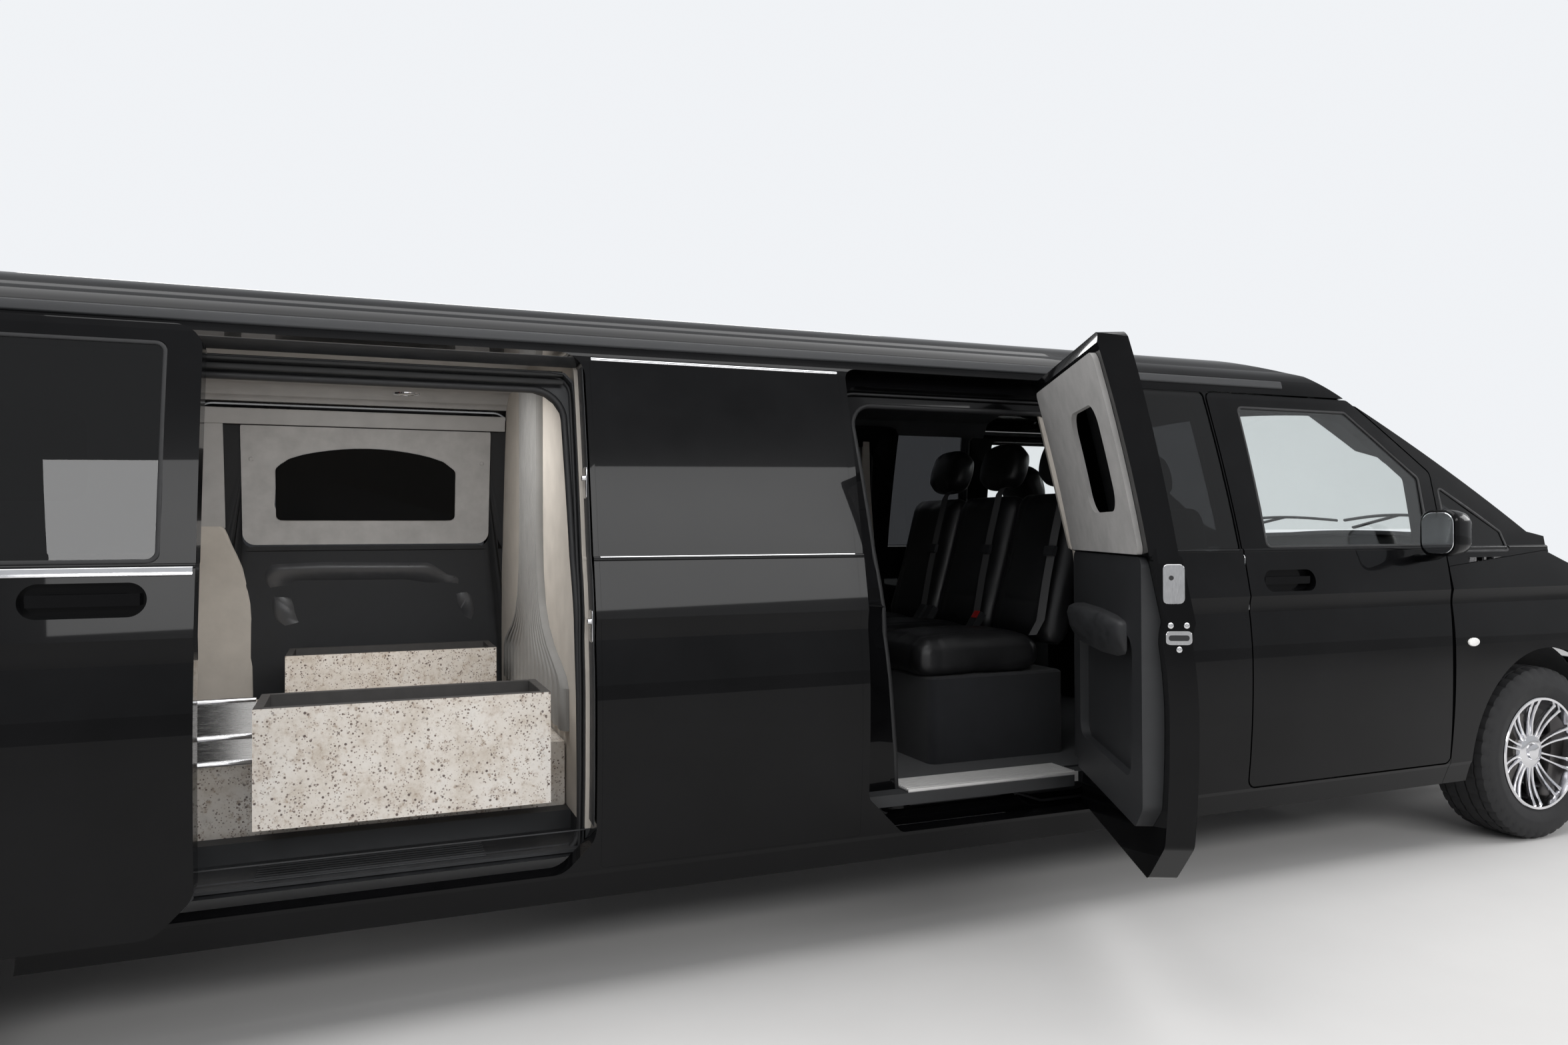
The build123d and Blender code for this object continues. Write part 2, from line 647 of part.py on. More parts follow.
# Hinged side doors; the right rear one stands open
front_edge = (DOOR_REAR, DOOR_REAR - 46)
rear_edge = (REAR_DOOR_REAR, REAR_DOOR_REAR)
front_door, front_pane = hinged_door(FRONT_DOOR, FRONT_WINDOW, front_hinge_x, front_edge, FRONT_HANDLE)
rear_door, rear_pane = hinged_door(REAR_DOOR, REAR_WINDOW, rear_hinge_x, rear_edge, REAR_HANDLE)
rear_trim = left_lining & prism(outline(REAR_TRIM_UPPER, 26))
rear_trim -= prism(outline(REAR_TRIM_WINDOW, 60))
moulding_y = HALF_WIDTH - WALL - DEEP_TRIM
rear_moulding = cabin & prism(outline(REAR_TRIM_LOWER, 26), moulding_y)
rear_moulding -= prism(outline(REAR_POCKET, 50), moulding_y - 100, moulding_y + 26)
for z in HINGE_HEIGHTS:
    rear_moulding -= hinge_notch(leaf_place(rear_hinge_x, z), HINGE_ROLL, 44, 300)
open_pin = Axis((rear_hinge_x, -HINGE_Y, 0), (0, 0, 1))
for node, shape in (("front_door", front_door), ("front_glass", front_pane)):
    save(node + "_left", shape)
    save(node + "_right", mirrored(shape))
rear_trim += rear_moulding
for node, shape in (("rear_door", rear_door), ("rear_glass", rear_pane), ("rear_trim", rear_trim)):
    save(node + "_left", shape)
    save(node + "_right", mirrored(shape).rotate(open_pin, REAR_DOOR_OPEN))

# Sliding doors: the left one shut, the right one slid back and out
slide = (left_shell & prism(outline(SLIDE_DOOR, 60))) - prism(outline(SLIDE_WINDOW, 22))
slide = with_handle(slide, *SLIDE_HANDLE)
slide_pane = left_glass & prism(outline(SLIDE_WINDOW, 22, -SEAT_GAP))
slide_upper = (left_lining & prism(outline(SLIDE_TRIM_UPPER, 45))) - prism(outline(SLIDE_TRIM_WINDOW, 40))
slide_lower = left_lining & prism(outline(SLIDE_TRIM_LOWER, 45))
slide_lower -= prism(outline(SLIDE_POCKET, 45), 500, HALF_WIDTH - WALL - TRIM - 2)
slid = Pos(-SLIDE_TRAVEL, -SLIDE_OUT, 0)
# The carrier of the open door reaches to the rear quarter; the latch of the shut door meets its pillar
slide_end = at_front(SLIDE_REAR)
catch_z = (BELT_Z - 70, BELT_Z - 30)
carrier = box((slide_end + 60, slide_end + 130), (HALF_WIDTH - 151, HALF_WIDTH - 76), catch_z)
carrier = (slid * mirrored(carrier)) - envelope(-SEAT_GAP)
latch = box((slide_end - SHUT_GAP + SEAT_GAP, slide_end + 30), (HALF_WIDTH - 61, HALF_WIDTH - 41), catch_z)
save("sliding_door_left", slide + latch)
save("sliding_door_right", (slid * mirrored(slide)) + carrier)
save("sliding_trims", slide_upper, slide_lower, slid * mirrored(slide_upper), slid * mirrored(slide_lower))

# Fixed glass: quarter pane, sail, sliding-door panes, rear quarter panes
fixed = [
    left_glass & prism(outline(points, corner, -SEAT_GAP))
    for points, corner in ((PANE, 14), (SAIL, 14), (QUARTER_PANE, 30))
]
save("side_glass", *fixed, *[mirrored(pane) for pane in fixed], slide_pane, slid * mirrored(slide_pane))
mid = left_shell & prism(outline(MID_PANEL, 10))
save("mid_panels", mid, mirrored(mid))

# Nose: wings, bonnet, lamps, grille, bumper, windscreen
nose_skin = (outer - under_skin) & box((at_front(DOOR_FRONT) - 10, NOSE + 50), (-BEYOND, BEYOND), (0, 1400))
wing = nose_skin & prism(outline(WING, 10))
wing = wing - arch_front - bonnet_room - lamp_tool - grille_room - bumper_room
save("front_wings", wing, mirrored(wing))
lamp = (outer - envelope(LAMP_DEPTH)) & prism(outline(LAMP, 20, -SEAT_GAP), 0) & lamp_keep
lamp = lamp - bonnet_room - bumper_room
save("headlamps", lamp, mirrored(lamp))
nose_shell = outer - envelope(BUMPER_SKIN)
grille = nose_shell & box(
    nose_x, around(0, GRILLE_Y - SEAT_GAP), (GRILLE_Z[0] + SEAT_GAP, GRILLE_Z[1] - SEAT_GAP)
)
# Slots across the grille leave its slats, with a post on the centreline
pitch = (GRILLE_Z[1] - GRILLE_Z[0] - 40) / GRILLE_SLOTS
for row in range(GRILLE_SLOTS):
    low = GRILLE_Z[0] + 20 + pitch * (row + 0.2)
    for side in (1, -1):
        slot_y = sorted((side * 45, side * (GRILLE_Y - 40)))
        grille -= box(nose_x, slot_y, (low, low + pitch * 0.6))
save("grille", grille)
bumper_z = (SKIRT_Z, BUMPER_Z - SEAT_GAP)
bumper = nose_shell & box((at_front(BUMPER_REAR), ahead_of_nose), (-BEYOND, BEYOND), bumper_z)
bumper -= both_sides(arch_front)
for middle, half in ((0, 380), (640, 110), (-640, 110)):
    bumper -= extrude(
        Plane.YZ.offset(at_front(500)) * Pos(middle, sum(INTAKE_Z) / 2)
        * RectangleRounded(2 * half, INTAKE_Z[1] - INTAKE_Z[0], 30), amount=600)
save("front_bumper", bumper)
bonnet = (outer - envelope(BONNET_SKIN)) & bonnet_tool
bonnet -= rolled_corner(bonnet_place(0), BONNET_ROLL, HALF_WIDTH)
for y in (-BONNET_HINGE_Y, BONNET_HINGE_Y):
    bonnet -= hinge_notch(bonnet_place(y), BONNET_ROLL)
for y in (-BONNET_HINGE_Y, BONNET_HINGE_Y):
    bonnet += door_leaf(bonnet_place(y), 60)
save("bonnet", bonnet)
save("windscreen", glass_layer & screen_tool)

# Roof between the side frames
roof = shell & (
    box((TAIL, HEADER_X + 90), around(0, FRAME_IN - SEAT_GAP), (1600, ABOVE))
    + box((TAIL, HEADER_X + 90), (-BEYOND, BEYOND), (FRAME_TOP + SEAT_GAP, ABOVE))
)
roof = roof - tail_room - screen_room
for y in (-TAIL_HINGE_Y, TAIL_HINGE_Y):
    roof += body_leaf(tail_place(y), TAIL_ROLL, 10)
save("roof", roof)

# Tailgate, its glass, tail lamps, rear bumper
tailgate = (shell & tail_tool) - rolled_corner(tail_place(0), TAIL_ROLL, HALF_WIDTH, 260, 90)
tailgate -= extrude(tail_plane * tail_window, amount=400)
for y in (-TAIL_HINGE_Y, TAIL_HINGE_Y):
    tailgate -= hinge_notch(tail_place(y), TAIL_ROLL)
for y in (-TAIL_HINGE_Y, TAIL_HINGE_Y):
    tailgate += door_leaf(tail_place(y))
save("tailgate", tailgate)
save("tailgate_glass", glass_layer & extrude(tail_plane * offset(tail_window, -SEAT_GAP), amount=400))
lamp_z = (LAMP_Z[0] + SEAT_GAP, LAMP_Z[1] - SEAT_GAP)
tail_lamp = outer - envelope(LAMP_DEPTH)
tail_lamp &= box((behind_tail, TAIL_FRONT - SEAT_GAP), (LAMP_Y + SEAT_GAP, BEYOND), lamp_z)
tail_lamp -= tail_room
save("tail_lamps", tail_lamp, mirrored(tail_lamp))
rear_bumper = outer - envelope(BUMPER_SKIN + 5)
rear_bumper &= box((behind_tail, TAIL_FRONT - SEAT_GAP), (-BEYOND, BEYOND), (SKIRT_Z, BUMPER_TOP))
save("rear_bumper", rear_bumper)

# Structure below: floor with rails and rear wheelhouses, step wells
FIREWALL_X = at_front(DOOR_FRONT + 100)
CHASSIS_Y = 510
CHASSIS_LOW = 300
HOUSE_Y = TRACK_Y - 148
HOUSE_R = ARCH_R - 15
SPRING_Y = 575
floor = cabin & box((TAIL + 100, FIREWALL_X), (-BEYOND, BEYOND), (FLOOR_UNDER, FLOOR_Z))
for side in (1, -1):
    floor -= rod((REAR_AXLE, side * (HOUSE_Y + 170), ARCH_Z), HOUSE_R, 360, "Y")
    house = rod((REAR_AXLE, side * (HOUSE_Y + 80), ARCH_Z), HOUSE_R + 12, 160, "Y")
    house -= rod((REAR_AXLE, side * (HOUSE_Y + 90), ARCH_Z), HOUSE_R, 160, "Y")
    floor += house & box(around(REAR_AXLE, 500), (-BEYOND, BEYOND), (FLOOR_UNDER, 900))
    rail = box((TAIL + 300, FIREWALL_X - 30), around(side * CHASSIS_Y, 30), (CHASSIS_LOW, FLOOR_UNDER))
    floor += rail - box(around(REAR_AXLE, 190), (-700, 700), (200, 385))
    foot = (TYRE_R + 0.8, FLOOR_UNDER)
    floor += box((REAR_AXLE + 440, REAR_AXLE + 500), around(side * SPRING_Y, 25), foot)
    for hinge_x in (front_hinge_x, rear_hinge_x):
        floor -= rod((hinge_x, side * HINGE_Y, 400), 86, 300)
well_y = (WELL_Y, HALF_WIDTH - 86)
step = (at_front(SLIDE_REAR), at_front(SLIDE_FRONT))
floor -= both_sides(box(step, well_y, (200, 600)))
save("floor_pan", floor)
well_x = (step[0] + SEAT_GAP, step[1] - SEAT_GAP)
well = box(well_x, (WELL_Y + SEAT_GAP, well_y[1]), (FLOOR_Z - WELL_DEPTH, FLOOR_Z))
well -= box(
    (step[0] + WELL_T, step[1] - WELL_T), (WELL_Y + WELL_T, BEYOND), (FLOOR_Z - WELL_DEPTH + WELL_T, 900)
)
well &= cabin
save("step_wells", well, mirrored(well))

# The steering axis leans in from the lower ball joint to the strut's top
KING_LOW = (TRACK_Y - 83, TYRE_R - 124.5)
KING_TOP = (TRACK_Y - 228, ARCH_Z + 445)
KING_LENGTH = 590
king_run = (0, KING_TOP[0] - KING_LOW[0], KING_TOP[1] - KING_LOW[1])
king = Plane((FRONT_AXLE, *KING_LOW), x_dir=(1, 0, 0), z_dir=king_run)
TOWER_Z = KING_TOP[1] - 38
FRONT_RAIL_Y = HALF_WIDTH - 536
LINER_R = ARCH_R + 19


def along_king(radius, start, end):
    """A cylinder on the left steering axis, between two distances up from the ball joint."""
    return king.location * Pos(0, 0, (start + end) / 2) * Cylinder(radius, end - start)


front = cabin & box((FIREWALL_X, FIREWALL_X + 20), (-BEYOND, BEYOND), (FLOOR_UNDER, 1140))
front += cabin & box((FIREWALL_X, at_front(140)), around(0, COWL_Y - 2), (1120, 1140))
# A strut tower and a wheelhouse liner on each side
tower = along_king(75, KING_LENGTH - 49.7, KING_LENGTH)
tower += box(around(FRONT_AXLE, 75), (FRONT_RAIL_Y + 28, KING_TOP[0] + 40), (TOWER_Z, KING_TOP[1]))
tower -= along_king(80, 400, KING_LENGTH - 49.7)
liner_at = (FRONT_AXLE, TRACK_Y - 83, ARCH_Z)
liner = rod(liner_at, LINER_R + 8, 230, "Y") - rod(liner_at, LINER_R, 240, "Y")
liner &= box(around(FRONT_AXLE, LINER_R + 20), (KING_TOP[0], BEYOND), (FLOOR_UNDER, 900))
tower += liner
for side in (1, -1):
    front += box((FIREWALL_X + 19, at_front(640)), around(side * FRONT_RAIL_Y, 35), (430, 520))
    front += tower if side > 0 else mirrored(tower)
    front += box(around(FRONT_AXLE, 130), around(side * (FRONT_RAIL_Y + 28), 7), (430, 900))
    front += body_leaf(bonnet_place(side * BONNET_HINGE_Y), BONNET_ROLL, 20)
front += box((at_front(620), at_front(650)), around(0, FRONT_RAIL_Y + 110), (320, 900))
cowl = nose_skin & box((at_front(66), at_front(BONNET_REAR) - SHUT_GAP), around(0, COWL_Y), (1100, 1225))
front += cowl - screen_room
brace_x = (at_front(100), at_front(110))
front += box(brace_x, around(0, HALF_WIDTH - 266), (1130, 1230)) & under_skin
front += box(brace_x, around(0, HALF_WIDTH - 266), (1130, 1190)) & outer
save("front_structure", front)


# Running gear
def tyre(x, side):
    """A tyre on its axle: tread, shoulder, sides and bore."""
    half = TYRE_W / 2
    inside = 6 - half
    ring = Polygon(
        (half, RIM_R), (half, TYRE_R - 26), (half - 24, TYRE_R), (inside, TYRE_R), (inside, RIM_R), align=None
    )
    shape = revolve(Plane.YZ * ring, Axis.Y, 360)
    return Pos(x, side * TRACK_Y, TYRE_R) * (shape if side > 0 else mirrored(shape))


def rim(x, side):
    """A rim with its disc of twin spokes."""
    half = TYRE_W / 2
    barrel = Polygon(
        (half, RIM_R - 10),
        (half, RIM_R - SEAT_GAP),
        (-half, RIM_R - SEAT_GAP),
        (-half, RIM_R - 17),
        (0, RIM_R - 19),
        (half - 20, RIM_R - 17),
        align=None,
    )
    wheel = revolve(Plane.YZ * barrel, Axis.Y, 360)
    wheel += rod((0, half - 45, 0), 45, 46, "Y")
    for index in range(SPOKES):
        for twin in (-7, 7):
            spoke = box(around(0, 5), (half - 52, half - 26), (40, RIM_R - 16))
            wheel += Rot(0, index * 360 / SPOKES + twin, 0) * spoke
    wheel += rod((0, half - 62, 0), HUB_R, 12, "Y")
    return Pos(x, side * TRACK_Y, TYRE_R) * (wheel if side > 0 else mirrored(wheel))


# Wheel name, axle station, side
WHEELS = (
    ("front_left", FRONT_AXLE, 1),
    ("front_right", FRONT_AXLE, -1),
    ("rear_left", REAR_AXLE, 1),
    ("rear_right", REAR_AXLE, -1),
)
for name, x, side in WHEELS:
    save("tyre_" + name, tyre(x, side))
    save("rim_" + name, rim(x, side))


def hub(x, side):
    """Hub, bearing and brake disc behind a wheel."""
    shape = rod((x, side * (HUB_FACE - SEAT_GAP - 20), TYRE_R), HUB_R, 40, "Y")
    shape += rod((x, side * (HUB_FACE - 60), TYRE_R), 45, 60, "Y")
    return shape + rod((x, side * (HUB_FACE - 60), TYRE_R), DISC_R, 12, "Y")


ARM_Z = KING_LOW[1]
knuckle = hub(FRONT_AXLE, 1)
knuckle += box(around(FRONT_AXLE, 28), (KING_LOW[0] - 23, HUB_FACE - 40), (ARM_Z + 35, TYRE_R + 60.5))
knuckle += along_king(14, 15.3, 60) + along_king(24, 60, 480) + along_king(52, 425, KING_LENGTH - 50)
save("knuckle_left", knuckle)
save("knuckle_right", mirrored(knuckle))

subframe = box(around(FRONT_AXLE, 120), around(0, 380), (ARM_Z + 15, ARM_Z + 75))
arm = box(around(FRONT_AXLE, 35), (350, KING_LOW[0] + 22), around(ARM_Z, 25)) + along_king(20, -40, 15)
arm -= along_king(60, 15, 60)
subframe = subframe + arm + mirrored(arm)
for side in (1, -1):
    subframe += box(around(FRONT_AXLE, 60), around(side * FRONT_RAIL_Y, 30), (ARM_Z, 429.7))
save("front_subframe", subframe)
DIFF_R = 62
beam = rod((REAR_AXLE, 0, TYRE_R), 34, 2 * (HUB_FACE - 30), "Y")
beam += Pos(REAR_AXLE, 0, TYRE_R) * Sphere(DIFF_R)
spring_z = (TYRE_R - 39.5, TYRE_R + 0.5)
for side in (1, -1):
    beam += hub(REAR_AXLE, side)
    beam += box((REAR_AXLE - 30, REAR_AXLE + 500), around(side * SPRING_Y, 25), spring_z)
save("rear_axle", beam)
ENGINE_X = (at_front(-300), at_front(450))
GEARBOX_END = at_front(-1100)
save("engine_block", box(ENGINE_X, around(0, 270), (330, 800)))
gearbox = rod(((ENGINE_X[0] + GEARBOX_END) / 2 - SEAT_GAP, 0, 300), 95, ENGINE_X[0] - GEARBOX_END, "X")
shaft_end = REAR_AXLE + DIFF_R - 2
shaft = rod(((GEARBOX_END + shaft_end) / 2, 0, TYRE_R), 30, GEARBOX_END - shaft_end, "X")
save("driveline", gearbox + shaft - Pos(REAR_AXLE, 0, TYRE_R) * Sphere(DIFF_R + SEAT_GAP))
save("fuel_tank", box((at_front(-2900), at_front(-1900)), (120, 470), (235, FLOOR_UNDER - SEAT_GAP)))
# The exhaust hangs from the floor beside the shaft, its silencer ahead of the rear axle
EXHAUST_Y = -250
EXHAUST_Z = TYRE_R - 69.5
EXHAUST_X = (REAR_AXLE - 180, at_front(-800))
SILENCER_X = REAR_AXLE + 1120
exhaust = rod((sum(EXHAUST_X) / 2, EXHAUST_Y, EXHAUST_Z), 28, EXHAUST_X[1] - EXHAUST_X[0], "X")
exhaust += rod((SILENCER_X, EXHAUST_Y, EXHAUST_Z), 75, 700, "X")
for x in (at_front(-1200), at_front(-2600), SILENCER_X + 400, SILENCER_X - 400, REAR_AXLE + 220):
    exhaust += box((x, x + 20), around(EXHAUST_Y, 12), (EXHAUST_Z + 10, FLOOR_UNDER - SEAT_GAP))
save("exhaust", exhaust)

# Dashboard and steering wheel
WHEEL_AT = Plane((at_front(DOOR_FRONT - 300), CHAIR_Y, 1010), x_dir=(0, 1, 0), z_dir=(-0.87, 0, 0.5))
WHEEL_R = 178
COLUMN_R = 18
rim_ring = revolve(Plane.XZ * Pos(WHEEL_R, 0) * RegularPolygon(14, 8), Axis.Z, 360)
steer = rim_ring + Cylinder(38, 40) + Pos(0, 0, -70) * Cylinder(COLUMN_R, 140)
steer += Box(2 * WHEEL_R, 22, 16) + Pos(0, -WHEEL_R / 2, 0) * Box(22, WHEEL_R, 16)
save("steering_wheel", WHEEL_AT.location * steer)
# Profile of the dashboard: distance behind the firewall and height
DASH = ((0.3, 760), (0.3, 1120), (130, 1150), (270, 1080), (290, 960), (170, 740))
dash = Plane.XZ.offset(141 - HALF_WIDTH) * plate([(FIREWALL_X - x, z) for x, z in DASH])
dash = extrude(dash, amount=2 * (HALF_WIDTH - 141))
save("dashboard", dash - WHEEL_AT.location * Pos(0, 0, -100) * Cylinder(COLUMN_R + SEAT_GAP, 250))


def seat(width, top):
    """Cushion, raked back and headrest facing forward; the foot of the back stands over the origin."""
    half = width / 2
    rake = Pos(0, 0, top - 30) * Rot(0, -SEAT_RAKE, 0)
    shape = box((-40, 500), (-half, half), (top - 110, top))
    shape += rake * box((-105, -5), (-half, half), (0, 585))
    shape += rake * box((-98, -12), (-130, 130), (615, 780))
    return shape + rake * box((-62, -48), (-80, 80), (580, 620))


chair = seat(CHAIR_WIDTH, CHAIR_TOP) + box((20, 450), around(0, 200), (FLOOR_Z + SEAT_GAP, CHAIR_TOP - 109))
save("front_seats", *[Pos(at_front(CHAIR_X), side * CHAIR_Y, 0) * chair for side in (1, -1)])
# The bench faces backward: three seats on one base
bench_half = BENCH_SEATS * BENCH_PITCH / 2
bench = box((20, 450), around(0, bench_half - 10), (FLOOR_Z + SEAT_GAP, BENCH_TOP - 109))
for index in range(BENCH_SEATS):
    y = (index - (BENCH_SEATS - 1) / 2) * BENCH_PITCH
    bench += Pos(0, y, 0) * seat(BENCH_PITCH - 3, BENCH_TOP)
save("rear_bench", Pos(at_front(BENCH_X), 0, 0) * Rot(0, 0, 180) * bench)

# Casket compartment: partition, lining, deck with its rails, flower trays
wall_x = (at_front(PARTITION_X) - PARTITION_T, at_front(PARTITION_X))
save("partition", cabin & box(wall_x, (-BEYOND, BEYOND), (FLOOR_Z + SEAT_GAP, ABOVE)))
CEILING_Z = GUTTER_Z + 13
lining_end = TAIL + 330
lining = lining_layer & (
    box((lining_end, wall_x[0] - SEAT_GAP), (-BEYOND, BEYOND), (CEILING_Z, ABOVE))
    + box((lining_end, at_front(SLIDE_REAR - 30)), (-BEYOND, BEYOND), (FLOOR_Z + SEAT_GAP, CEILING_Z + 75))
)
for side in (1, -1):
    lining -= rod((REAR_AXLE, side * (HOUSE_Y + 170), ARCH_Z), HOUSE_R + 21, 500, "Y")
lining -= both_sides(prism(outline(QUARTER_PANE, 30), 400))
save("compartment_lining", lining)
deck_x = (TAIL + 150, at_front(DECK_FRONT))
deck = box(deck_x, around(0, DECK_Y), (FLOOR_Z + SEAT_GAP, DECK_TOP))
tray_back = DECK_Y - TRAY_DEPTH
bay_x = (at_front(TRAY_X[0]) - TRAY_ROOM, at_front(TRAY_X[1]) + TRAY_ROOM)
bay_floor = TRAY_Z[0] - TRAY_ROOM
for side in (1, -1):
    deck -= box(bay_x, sorted((side * (tray_back - TRAY_ROOM), side * (DECK_Y + 10))), (bay_floor, 900))
    for x in (bay_x[0] + 130, bay_x[1] - 160):
        bearer_y = sorted((side * (tray_back - 3), side * DECK_Y))
        deck += box((x, x + 30), bearer_y, (bay_floor - 1, TRAY_Z[0] - SEAT_GAP))
save("casket_deck", deck)
rail_x = (deck_x[0] + 40, deck_x[1] - 40)
rail_z = (DECK_TOP + SEAT_GAP, DECK_TOP + RAIL_HEIGHT)
save("deck_rails", *[box(rail_x, around(side * RAIL_Y, RAIL_WIDTH / 2), rail_z) for side in (1, -1)])
tray = box((at_front(TRAY_X[0]), at_front(TRAY_X[1])), (tray_back, DECK_Y), TRAY_Z)
tray -= box(
    (at_front(TRAY_X[0]) + TRAY_WALL, at_front(TRAY_X[1]) - TRAY_WALL),
    (tray_back + TRAY_WALL, DECK_Y - TRAY_WALL),
    (TRAY_Z[0] + TRAY_WALL, 900),
)
save("flower_tray_left", tray)
save("flower_tray_right", Pos(0, -TRAY_TRAVEL, 0) * mirrored(tray))

# Door mirrors
arm_x = (at_front(DOOR_FRONT - 170), at_front(DOOR_FRONT - 130))
head_x = (at_front(DOOR_FRONT - 210), at_front(DOOR_FRONT - 100))
head = box(head_x, (HALF_WIDTH + 19, HALF_WIDTH + 164), (BELT_Z - 30, BELT_Z + 145))
head = fillet(head.edges().filter_by(Axis.Z), 25)
head += box(arm_x, (HALF_WIDTH - 61, HALF_WIDTH + 94), (BELT_Z - 50, BELT_Z - 15))
head -= envelope(-SEAT_GAP)
save("mirror_left", head)
save("mirror_right", mirrored(head))
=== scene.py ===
from math import ceil, cos, pi, radians, sin, sqrt, tan

import bmesh
import bpy
from mathutils import Matrix, Vector


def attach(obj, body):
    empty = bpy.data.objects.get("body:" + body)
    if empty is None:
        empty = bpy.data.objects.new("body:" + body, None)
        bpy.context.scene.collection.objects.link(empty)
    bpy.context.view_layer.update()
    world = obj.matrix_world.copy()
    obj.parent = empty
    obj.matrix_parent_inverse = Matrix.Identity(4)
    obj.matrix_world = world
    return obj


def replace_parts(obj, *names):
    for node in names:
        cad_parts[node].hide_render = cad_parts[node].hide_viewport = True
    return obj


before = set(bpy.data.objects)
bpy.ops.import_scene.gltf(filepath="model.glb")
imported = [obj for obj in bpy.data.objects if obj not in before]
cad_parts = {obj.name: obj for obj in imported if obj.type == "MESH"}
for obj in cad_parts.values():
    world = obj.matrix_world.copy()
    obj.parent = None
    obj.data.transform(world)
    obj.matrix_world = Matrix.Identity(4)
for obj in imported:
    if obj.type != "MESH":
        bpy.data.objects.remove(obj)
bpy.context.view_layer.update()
scene = bpy.context.scene
scene.view_settings.view_transform = "Standard"

FRONT_AXLE = 2.7855
REAR_AXLE = -2.6345
TYRE_R = 0.3395
TRACK_Y = 0.828

# Half width of the body side by height, for trims that lie on it
SIDE = (
    (0.205, 0.885), (0.25, 0.9), (0.332, 0.932), (0.345, 0.94), (0.568, 0.961), (0.79, 0.966),
    (0.868, 0.9615), (0.945, 0.953), (1, 0.96), (1.075, 0.949), (1.15, 0.93), (1.162, 0.921),
    (1.3, 0.898), (1.43, 0.8705), (1.56, 0.84), (1.695, 0.806), (1.71, 0.8), (1.764, 0.784),
    (1.812, 0.735), (1.862, 0.6), (1.897, 0),
)


def at(x):
    """A station measured from the front axle, in the vehicle frame."""
    return FRONT_AXLE + x


def spot(x, y, z):
    """A point at a station."""
    return Vector((at(x), y, z))


def side_y(z):
    """Half width of the body's side at a height."""
    for (z0, y0), (z1, y1) in zip(SIDE, SIDE[1:]):
        if z <= z1:
            return y0 + (y1 - y0) * (z - z0) / (z1 - z0)
    return 0


# Materials


class Shader:
    """A Principled material whose nodes are added one by one."""

    def __init__(self, name, rough=0.5, metal=0, **sockets):
        self.material = bpy.data.materials.new(name)
        self.material.use_nodes = True
        self.tree = self.material.node_tree
        self.shader = self.tree.nodes["Principled BSDF"]
        self.shader.inputs["Roughness"].default_value = rough
        self.shader.inputs["Metallic"].default_value = metal
        for socket, value in sockets.items():
            self.shader.inputs[socket.replace("_", " ")].default_value = value
        self.place = self.node("TexCoord").outputs["Object"]

    def node(self, kind, **inputs):
        node = self.tree.nodes.new("ShaderNode" + kind)
        for socket, value in inputs.items():
            node.inputs[socket.replace("_", " ")].default_value = value
        return node

    def link(self, start, end):
        self.tree.links.new(start, end)

    def noise(self, scale, detail=3, rough=0.6, stretch=None):
        node = self.node("TexNoise", Scale=scale, Detail=detail, Roughness=rough)
        place = self.place
        if stretch:
            mapping = self.node("Mapping", Scale=stretch)
            self.link(place, mapping.inputs["Vector"])
            place = mapping.outputs["Vector"]
        self.link(place, node.inputs["Vector"])
        return node.outputs["Fac"]

    def cells(self, scale, feature="F1"):
        node = self.node("TexVoronoi", Scale=scale)
        node.feature = feature
        self.link(self.place, node.inputs["Vector"])
        return node.outputs["Distance"]

    def ramp(self, value, *stops):
        node = self.node("ValToRGB")
        ramp = node.color_ramp
        while len(ramp.elements) < len(stops):
            ramp.elements.new(0.5)
        for element, (place, colour) in zip(ramp.elements, stops):
            element.position = place
            element.color = (*colour, 1)
        self.link(value, node.inputs["Fac"])
        return node.outputs["Color"]

    def mix(self, factor, first, second):
        node = self.node("Mix")
        node.data_type = "RGBA"
        self.link(factor, node.inputs["Factor"])
        for socket, value in (("A", first), ("B", second)):
            target = [i for i in node.inputs if i.name == socket and i.type == "RGBA"][0]
            if isinstance(value, tuple):
                target.default_value = (*value, 1)
            else:
                self.link(value, target)
        return [o for o in node.outputs if o.type == "RGBA"][0]

    def range(self, value, low, high, start=0.3, end=0.7):
        node = self.node("MapRange", From_Min=start, From_Max=end, To_Min=low, To_Max=high)
        self.link(value, node.inputs["Value"])
        return node.outputs["Result"]

    def colour(self, value):
        self.link(value, self.shader.inputs["Base Color"])
        return self

    def rough(self, value, low, high):
        self.link(self.range(value, low, high), self.shader.inputs["Roughness"])
        return self

    def bump(self, value, strength=0.3, distance=0.001):
        node = self.node("Bump", Strength=strength, Distance=distance)
        self.link(value, node.inputs["Height"])
        self.link(node.outputs["Normal"], self.shader.inputs["Normal"])
        return self


def shades(shader, value, colour, spread):
    """Light and dark variants of a colour, following a noise."""
    dark = tuple(c * (1 - spread) for c in colour)
    light = tuple(min(1, c * (1 + spread)) for c in colour)
    return shader.ramp(value, (0.3, dark), (0.7, light))


def plain(name, colour, rough, metal=0, scale=40, spread=0.08, grain=300, bump=0.1, **sockets):
    """A finish with soft variation in colour and roughness and a fine grain."""
    s = Shader(name, rough, metal, **sockets)
    soft = s.noise(scale)
    s.colour(shades(s, soft, colour, spread)).rough(soft, rough * 0.85, min(1, rough * 1.15))
    return s.bump(s.noise(grain), bump, 0.0004).material


